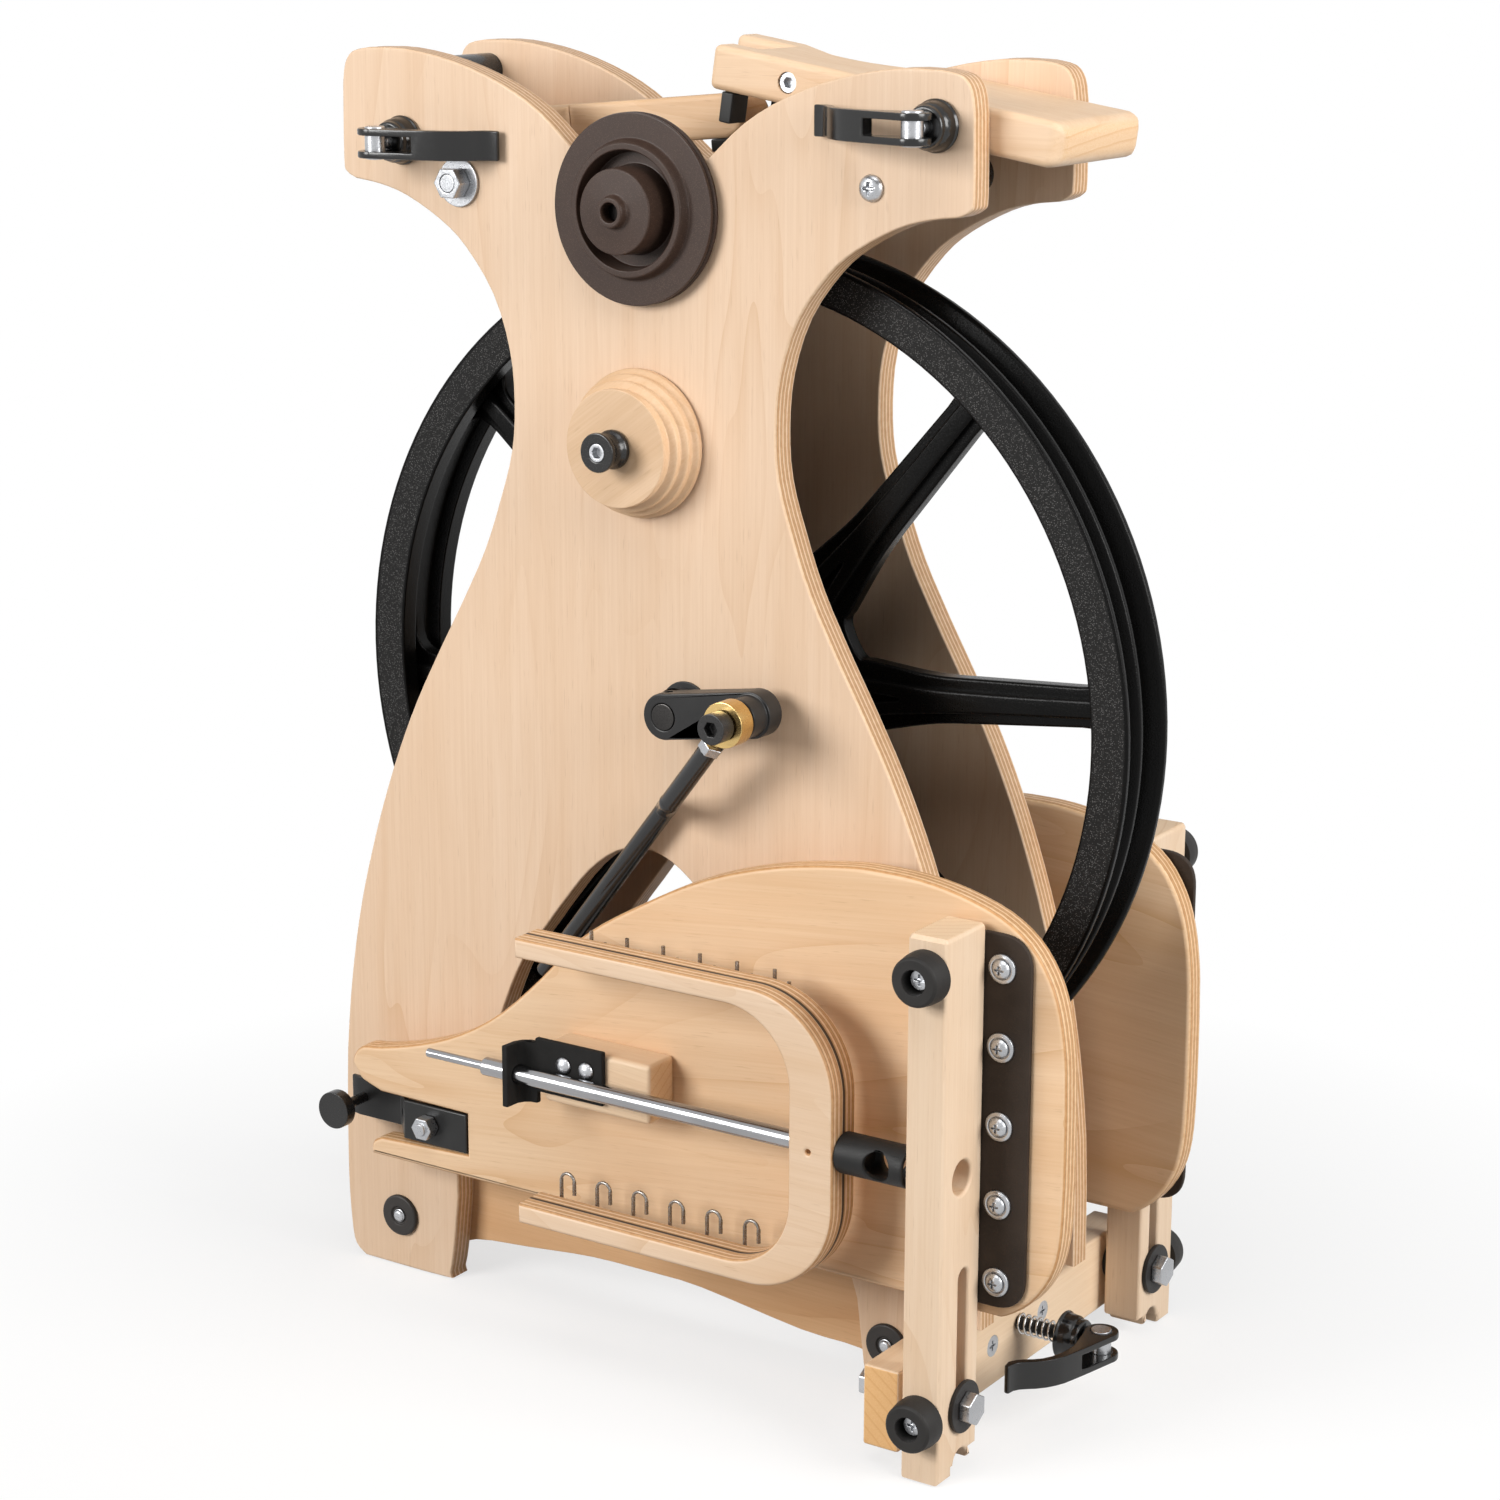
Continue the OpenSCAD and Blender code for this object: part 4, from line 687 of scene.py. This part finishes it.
# Axle and cranks: a dark turned steel axle, two black crank arms clamped on it, and socket screws for the footmen.
# The crank arms are sawn flat bar with a satin black finish and round ends; the axle runs in black bushes.
def metal(name, tint, rough=0.28, dull=0.6, thread=None, grain_size=0.0008):
    """Metal with hairline scratches and a cloudy plating; thread = (axis, pitch) adds screw rings along one axis."""
    made, tree, shader = blank(name)
    place = put(tree, "ShaderNodeTexCoord").outputs["Object"]
    skin = put(tree, "ShaderNodeGroup", {"node_tree": fine}, Vector=place, Grain_Size=grain_size)
    base = blend_colour(tree, span(tree, skin.outputs["Mottle"], 0.3, 0.7), shade(tint, dull), (*tint, 1.0))
    base = blend_colour(tree, span(tree, skin.outputs["Scratch"], 0.55, 0.72, 0.0, 0.5), base, shade(tint, 0.7))
    tree.links.new(base, shader.inputs["Base Color"])
    gloss = span(tree, skin.outputs["Grain"], 0.3, 0.7, rough * 0.75, rough * 1.35)
    tree.links.new(gloss, shader.inputs["Roughness"])
    if thread:
        axis, pitch = thread
        axes = put(tree, "ShaderNodeSeparateXYZ", Vector=place)
        height = maths(tree, "PINGPONG", maths(tree, "DIVIDE", axes.outputs[axis], pitch), 0.5)
        bump = put(tree, "ShaderNodeBump", Strength=0.9, Distance=pitch * 0.7, Height=height)
    else:
        bump = put(tree, "ShaderNodeBump", Strength=0.05, Distance=0.0002, Height=skin.outputs["Scratch"])
    tree.links.new(bump.outputs[0], shader.inputs["Normal"])
    shader.inputs["Metallic"].default_value = 1.0
    return made


SMALL = 0.0003
dress("axle", metal("dark_axle_steel", (0.06, 0.057, 0.055), rough=0.30), width=0.0006, shortest=SMALL)
dress("cranks", coated("crank_black", (0.017, 0.0168, 0.017), rough=0.34, shine=0.30, grain_size=0.0004),
      width=0.0009, shortest=SMALL)
dress("crank_screws", coated("black_oxide", (0.014, 0.013, 0.013), rough=0.30, shine=0.45, grain_size=0.0004,
                             bumpy=0.03), width=0.0004, shortest=SMALL)
dress("axle_bushes", coated("bush_black", (0.02, 0.02, 0.02), rough=0.45, shine=0.3), width=0.0004, shortest=SMALL)


# Footmen: brass rod ends turn on the crank screws, and glossy black tubes screw onto their threaded stems.
# A zinc-plated nut locks each tube.
def loose(node):
    """The separate solids of a CAD node as pieces of their own, the largest first."""
    only(take(node))
    bpy.ops.object.mode_set(mode="EDIT")
    bpy.ops.mesh.select_all(action="SELECT")
    bpy.ops.mesh.separate(type="LOOSE")
    bpy.ops.object.mode_set(mode="OBJECT")
    return sorted(bpy.context.selected_objects, key=lambda one: -len(one.data.vertices))


def settle_all(node, finish_of, width=0.0004, shortest=SMALL):
    """Eases and places the loose solids of a node; finish_of gives each one's material and plain name."""
    for k, piece in enumerate(loose(node)):
        material, word = finish_of(piece)
        ease(piece, width, shortest)
        settle(piece, node, material, "%s_%s_%d" % (node, word, k + 1), stands_in=(k == 0))


zinc = metal("zinc_plate", (0.50, 0.51, 0.53), rough=0.30, dull=0.80)
brass = metal("bright_brass", (0.72, 0.50, 0.20), rough=0.22, dull=0.8)
tube_black = coated("tube_black", (0.012, 0.012, 0.0125), rough=0.16, shine=0.5, grain_size=0.0009, bumpy=0.02,
                    varied=0.15)
LOCK_NUT = 0.0135


def rod_end_finish(piece):
    """The lock nut is smaller than the brass ring and its stem."""
    return (zinc, "nut") if max(reach_of(piece)[2]) < LOCK_NUT else (brass, "ring")


for side in ("front", "back"):
    settle_all(side + "_rod_end", rod_end_finish)
    dress(side + "_footman", tube_black, width=0.0008, shortest=SMALL, corner=40.0)

# Clamps: three quick levers with S-shaped blades, each turning on a bright barrel pin and bearing on a bell-shaped
# cup. The levers are cast and enamelled black; thin plated washers lie behind the two upper cups.
# The rods run through the panels and the arms, with a nut at each far end; the base rod is black and threaded.
lever_black = coated("lever_enamel", (0.007, 0.0068, 0.0066), rough=0.18, shine=0.5, grain_size=0.0005, bumpy=0.04,
                     varied=0.15)
rod_black = metal("black_thread", (0.05, 0.048, 0.046), rough=0.38, dull=0.7, thread=("X", 0.001))
LEVER_PIN, CUP_WASHER, ROD_NUT = 0.016, 0.002, 0.02


def lever_finish(piece):
    """The barrel pin is far shorter than the blade."""
    return (zinc, "pin") if max(reach_of(piece)[2]) < LEVER_PIN else (lever_black, "blade")


def cup_finish(piece):
    """The washers are thinner than the bells."""
    return (zinc, "washer") if min(reach_of(piece)[2]) < CUP_WASHER else (lever_black, "bell")


def rod_finish(piece):
    """Nuts are the short solids, and the base rod is the one that lies along X."""
    sides = reach_of(piece)[2]
    if max(sides) < ROD_NUT:
        return zinc, "nut"
    return (rod_black, "threaded") if sides.x > sides.y else (zinc, "rod")


for side in ("left", "right", "base"):
    settle_all(side + "_lever", lever_finish, width=0.0007, shortest=0.0004)
settle_all("clamp_cups", cup_finish, width=0.0005)
settle_all("clamp_rods", rod_finish)

# Base spring: a light open coil of steel wire between the rail and the lower cup, which lifts the cup clear.
# It is wound on a mandrel and slipped over the base rod.
WIRE, COIL, TURNS, STEPS, WIRE_SIDES = 0.00055, 0.0043, 7, 28, 10
low, high = (Vector(corner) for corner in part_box("base_spring"))
pitch = (high.x - low.x - 2 * WIRE) / TURNS
bpy.ops.object.select_all(action="DESELECT")
bpy.ops.mesh.primitive_circle_add(vertices=WIRE_SIDES, radius=WIRE, location=(0.0, 0.0, 0.0))
coil = bpy.context.object
bpy.ops.object.mode_set(mode="EDIT")
bpy.ops.mesh.select_all(action="SELECT")
bpy.ops.transform.translate(value=(0.0, COIL, 0.0))
bpy.ops.object.mode_set(mode="OBJECT")
wound = coil.modifiers.new("wound", "SCREW")
wound.axis = "X"
wound.angle = 2 * math.pi
wound.screw_offset = pitch
wound.iterations = TURNS
wound.steps = STEPS
wound.render_steps = STEPS
bpy.ops.object.modifier_apply(modifier="wound")
coil.location = (low.x + WIRE, 0.0, (low.z + high.z) / 2)
bpy.ops.object.transform_apply(location=True, rotation=True, scale=True)
bpy.ops.object.mode_set(mode="EDIT")
bpy.ops.mesh.select_all(action="SELECT")
bpy.ops.mesh.remove_doubles(threshold=1e-6)
bpy.ops.mesh.fill_holes(sides=WIRE_SIDES + 2)
bpy.ops.mesh.select_all(action="SELECT")
bpy.ops.mesh.normals_make_consistent(inside=False)
bpy.ops.object.mode_set(mode="OBJECT")
bpy.ops.object.shade_smooth_by_angle(angle=math.radians(50))
settle(coil, "base_spring", metal("spring_wire", (0.62, 0.61, 0.60), rough=0.22, dull=0.8))

# Stops: black plastic tubes between the panels, held by plated bolts, nuts and a domed screw.
# The arms come to rest on them when they are folded or raised.
stop_black = coated("stop_black", (0.011, 0.011, 0.0115), rough=0.24, shine=0.45, grain_size=0.0008, bumpy=0.03)
dress("stop_tubes", stop_black, width=0.0005, shortest=SMALL)
dress("stop_fasteners", zinc, width=0.0005, shortest=SMALL)

# Leg discs: black rubber discs at the feet of the panels, with the small domed ends of the leg bolts in their
# middles. Two countersunk screws hold the base rail.
disc_rubber = coated("disc_rubber", (0.026, 0.0225, 0.0205), rough=0.46, shine=0.3, grain_size=0.0007, bumpy=0.12,
                     varied=0.35)
dress("leg_washers", disc_rubber, width=0.0004, shortest=SMALL)
dress("leg_bolts", zinc, width=0.0003, shortest=SMALL)
dress("rail_screws", zinc, width=0.0002, shortest=SMALL)

# Feet and pivots of the bars: moulded black rubber buffers with a sunk screw, on which the bars lie when they are
# folded down, and a plated bolt with black plastic washers through each bar's slot.
foot_rubber = coated("foot_rubber", (0.020, 0.0185, 0.0175), rough=0.55, shine=0.22, grain_size=0.0005, bumpy=0.14,
                     varied=0.35)
pivot_plastic = coated("pivot_plastic", (0.022, 0.020, 0.019), rough=0.5, shine=0.25, bumpy=0.08)
for side in ("front", "back"):
    dress(side + "_feet", foot_rubber, width=0.0003, shortest=SMALL)
    dress(side + "_foot_screws", zinc, width=0.0002, shortest=SMALL)
    dress(side + "_pivot_washers", pivot_plastic, width=0.0004, shortest=SMALL)
    dress(side + "_pivot_bolt", zinc, width=0.0006, shortest=SMALL)

# Hinge straps: dark leather cut with two round corners, the straight edge held behind the bar.
# Five plated screws in cup washers hold each strap to its treadle.
strap_leather = coated("strap_leather", (0.034, 0.024, 0.018), rough=0.62, shine=0.2, grain_size=0.0011, bumpy=0.45,
                       varied=0.3)
STRAP_REACH = [0.001, 0.015, 0.015, 0.001]
for side in ("front", "back"):
    near, far = (Vector(corner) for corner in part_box(side + "_strap"))
    corners = [(near.x, near.z), (far.x, near.z), (far.x, far.z), (near.x, far.z)]
    strap = flat_piece(side + "_strap_piece", [rounded(corners, STRAP_REACH, steps=10)], "Y",
                       middle=(near.y + far.y) / 2, thick=far.y - near.y, round_over=0.0006)
    settle(strap, side + "_strap", strap_leather)
    dress(side + "_treadle_screws", zinc, width=0.00015, shortest=SMALL)

# Connectors: black straps let into the treadles' toes, which take the footmen in use.
# Each is held by a plated lock nut and ends in a black button.
connector_black = coated("connector_black", (0.0115, 0.0112, 0.011), rough=0.32, shine=0.35, grain_size=0.0004,
                         bumpy=0.06, varied=0.3)
button_black = coated("button_black", (0.0115, 0.0112, 0.011), rough=0.22, shine=0.45, grain_size=0.0008, bumpy=0.03)
NUT_SIDE = -0.16


def fixing_finish(piece):
    """The nut lies on the treadle's side of the button."""
    return (zinc, "nut") if reach_of(piece)[0].x > NUT_SIDE else (button_black, "button")


for side in ("front", "back"):
    dress(side + "_connector", connector_black, width=0.0007, shortest=0.0005)
    settle_all(side + "_connector_fixings", fixing_finish, width=0.0005)

# Flyer shaft, hooks and orifice: a polished steel shaft in the yoke, bent wire hooks along the arms to guide the
# yarn, and a black orifice tube with a rounded flange. A pad of black felt leather on the block steadies the shaft.
dress("flyer_shaft", metal("polished_shaft", (0.36, 0.36, 0.37), rough=0.16, dull=0.85, grain_size=0.004),
      width=0.0005, shortest=SMALL)
dress("flyer_hooks", metal("hook_wire", (0.30, 0.28, 0.26), rough=0.25, dull=0.8), width=0.0001, shortest=SMALL,
      corner=60.0)
dress("flyer_orifice", coated("orifice_black", (0.011, 0.0108, 0.0105), rough=0.5, shine=0.25, bumpy=0.25),
      width=0.0010, shortest=SMALL)
felt = coated("felt_leather", (0.013, 0.0125, 0.012), rough=0.75, shine=0.15, grain_size=0.0004, bumpy=0.5, varied=0.4)
PAD_SCREW = 0.012


def pad_finish(piece):
    """The two screws are far smaller than the pad."""
    return (zinc, "screw") if max(reach_of(piece)[2]) < PAD_SCREW else (felt, "pad")


settle_all("holder_leather", pad_finish, width=0.0006, shortest=0.0004)

# Whorls: the large brown whorl is moulded with a deep ring and a hub, and turns on a dark steel post.
# The pale whorl turns on a plated screw, and its thumb knob is turned black plastic.
whorl_brown = coated("whorl_brown", (0.044, 0.0255, 0.0185), rough=0.38, shine=0.22, grain_size=0.00045, bumpy=0.08,
                     varied=0.12, speck=(0.10, 0.060, 0.044))
dress("brown_whorl", whorl_brown, width=0.0006, shortest=SMALL)
dark_post = metal("dark_post_steel", (0.02, 0.018, 0.017), rough=0.35)
BETWEEN_WHORLS = 0.47


def post_finish(piece):
    """The screw of the pale whorl lies below the post of the brown one."""
    return (zinc, "screw") if reach_of(piece)[0].z < BETWEEN_WHORLS else (dark_post, "post")


settle_all("whorl_posts", post_finish)
dress("thumb_knob", button_black, width=0.0006, shortest=SMALL)

# Bearings of the top arms: black leather blocks under the fork and a pad under the short arm.
# One plated screw is sunk in the side of the long arm.
bearing_black = coated("bearing_black", (0.012, 0.0118, 0.0115), rough=0.45, shine=0.3, grain_size=0.0007, bumpy=0.15)
dress("orifice_bearing", bearing_black, width=0.0007)
dress("rear_bearing", bearing_black, width=0.0007)
dress("arm_a_screw", zinc, width=0.0003, shortest=SMALL)
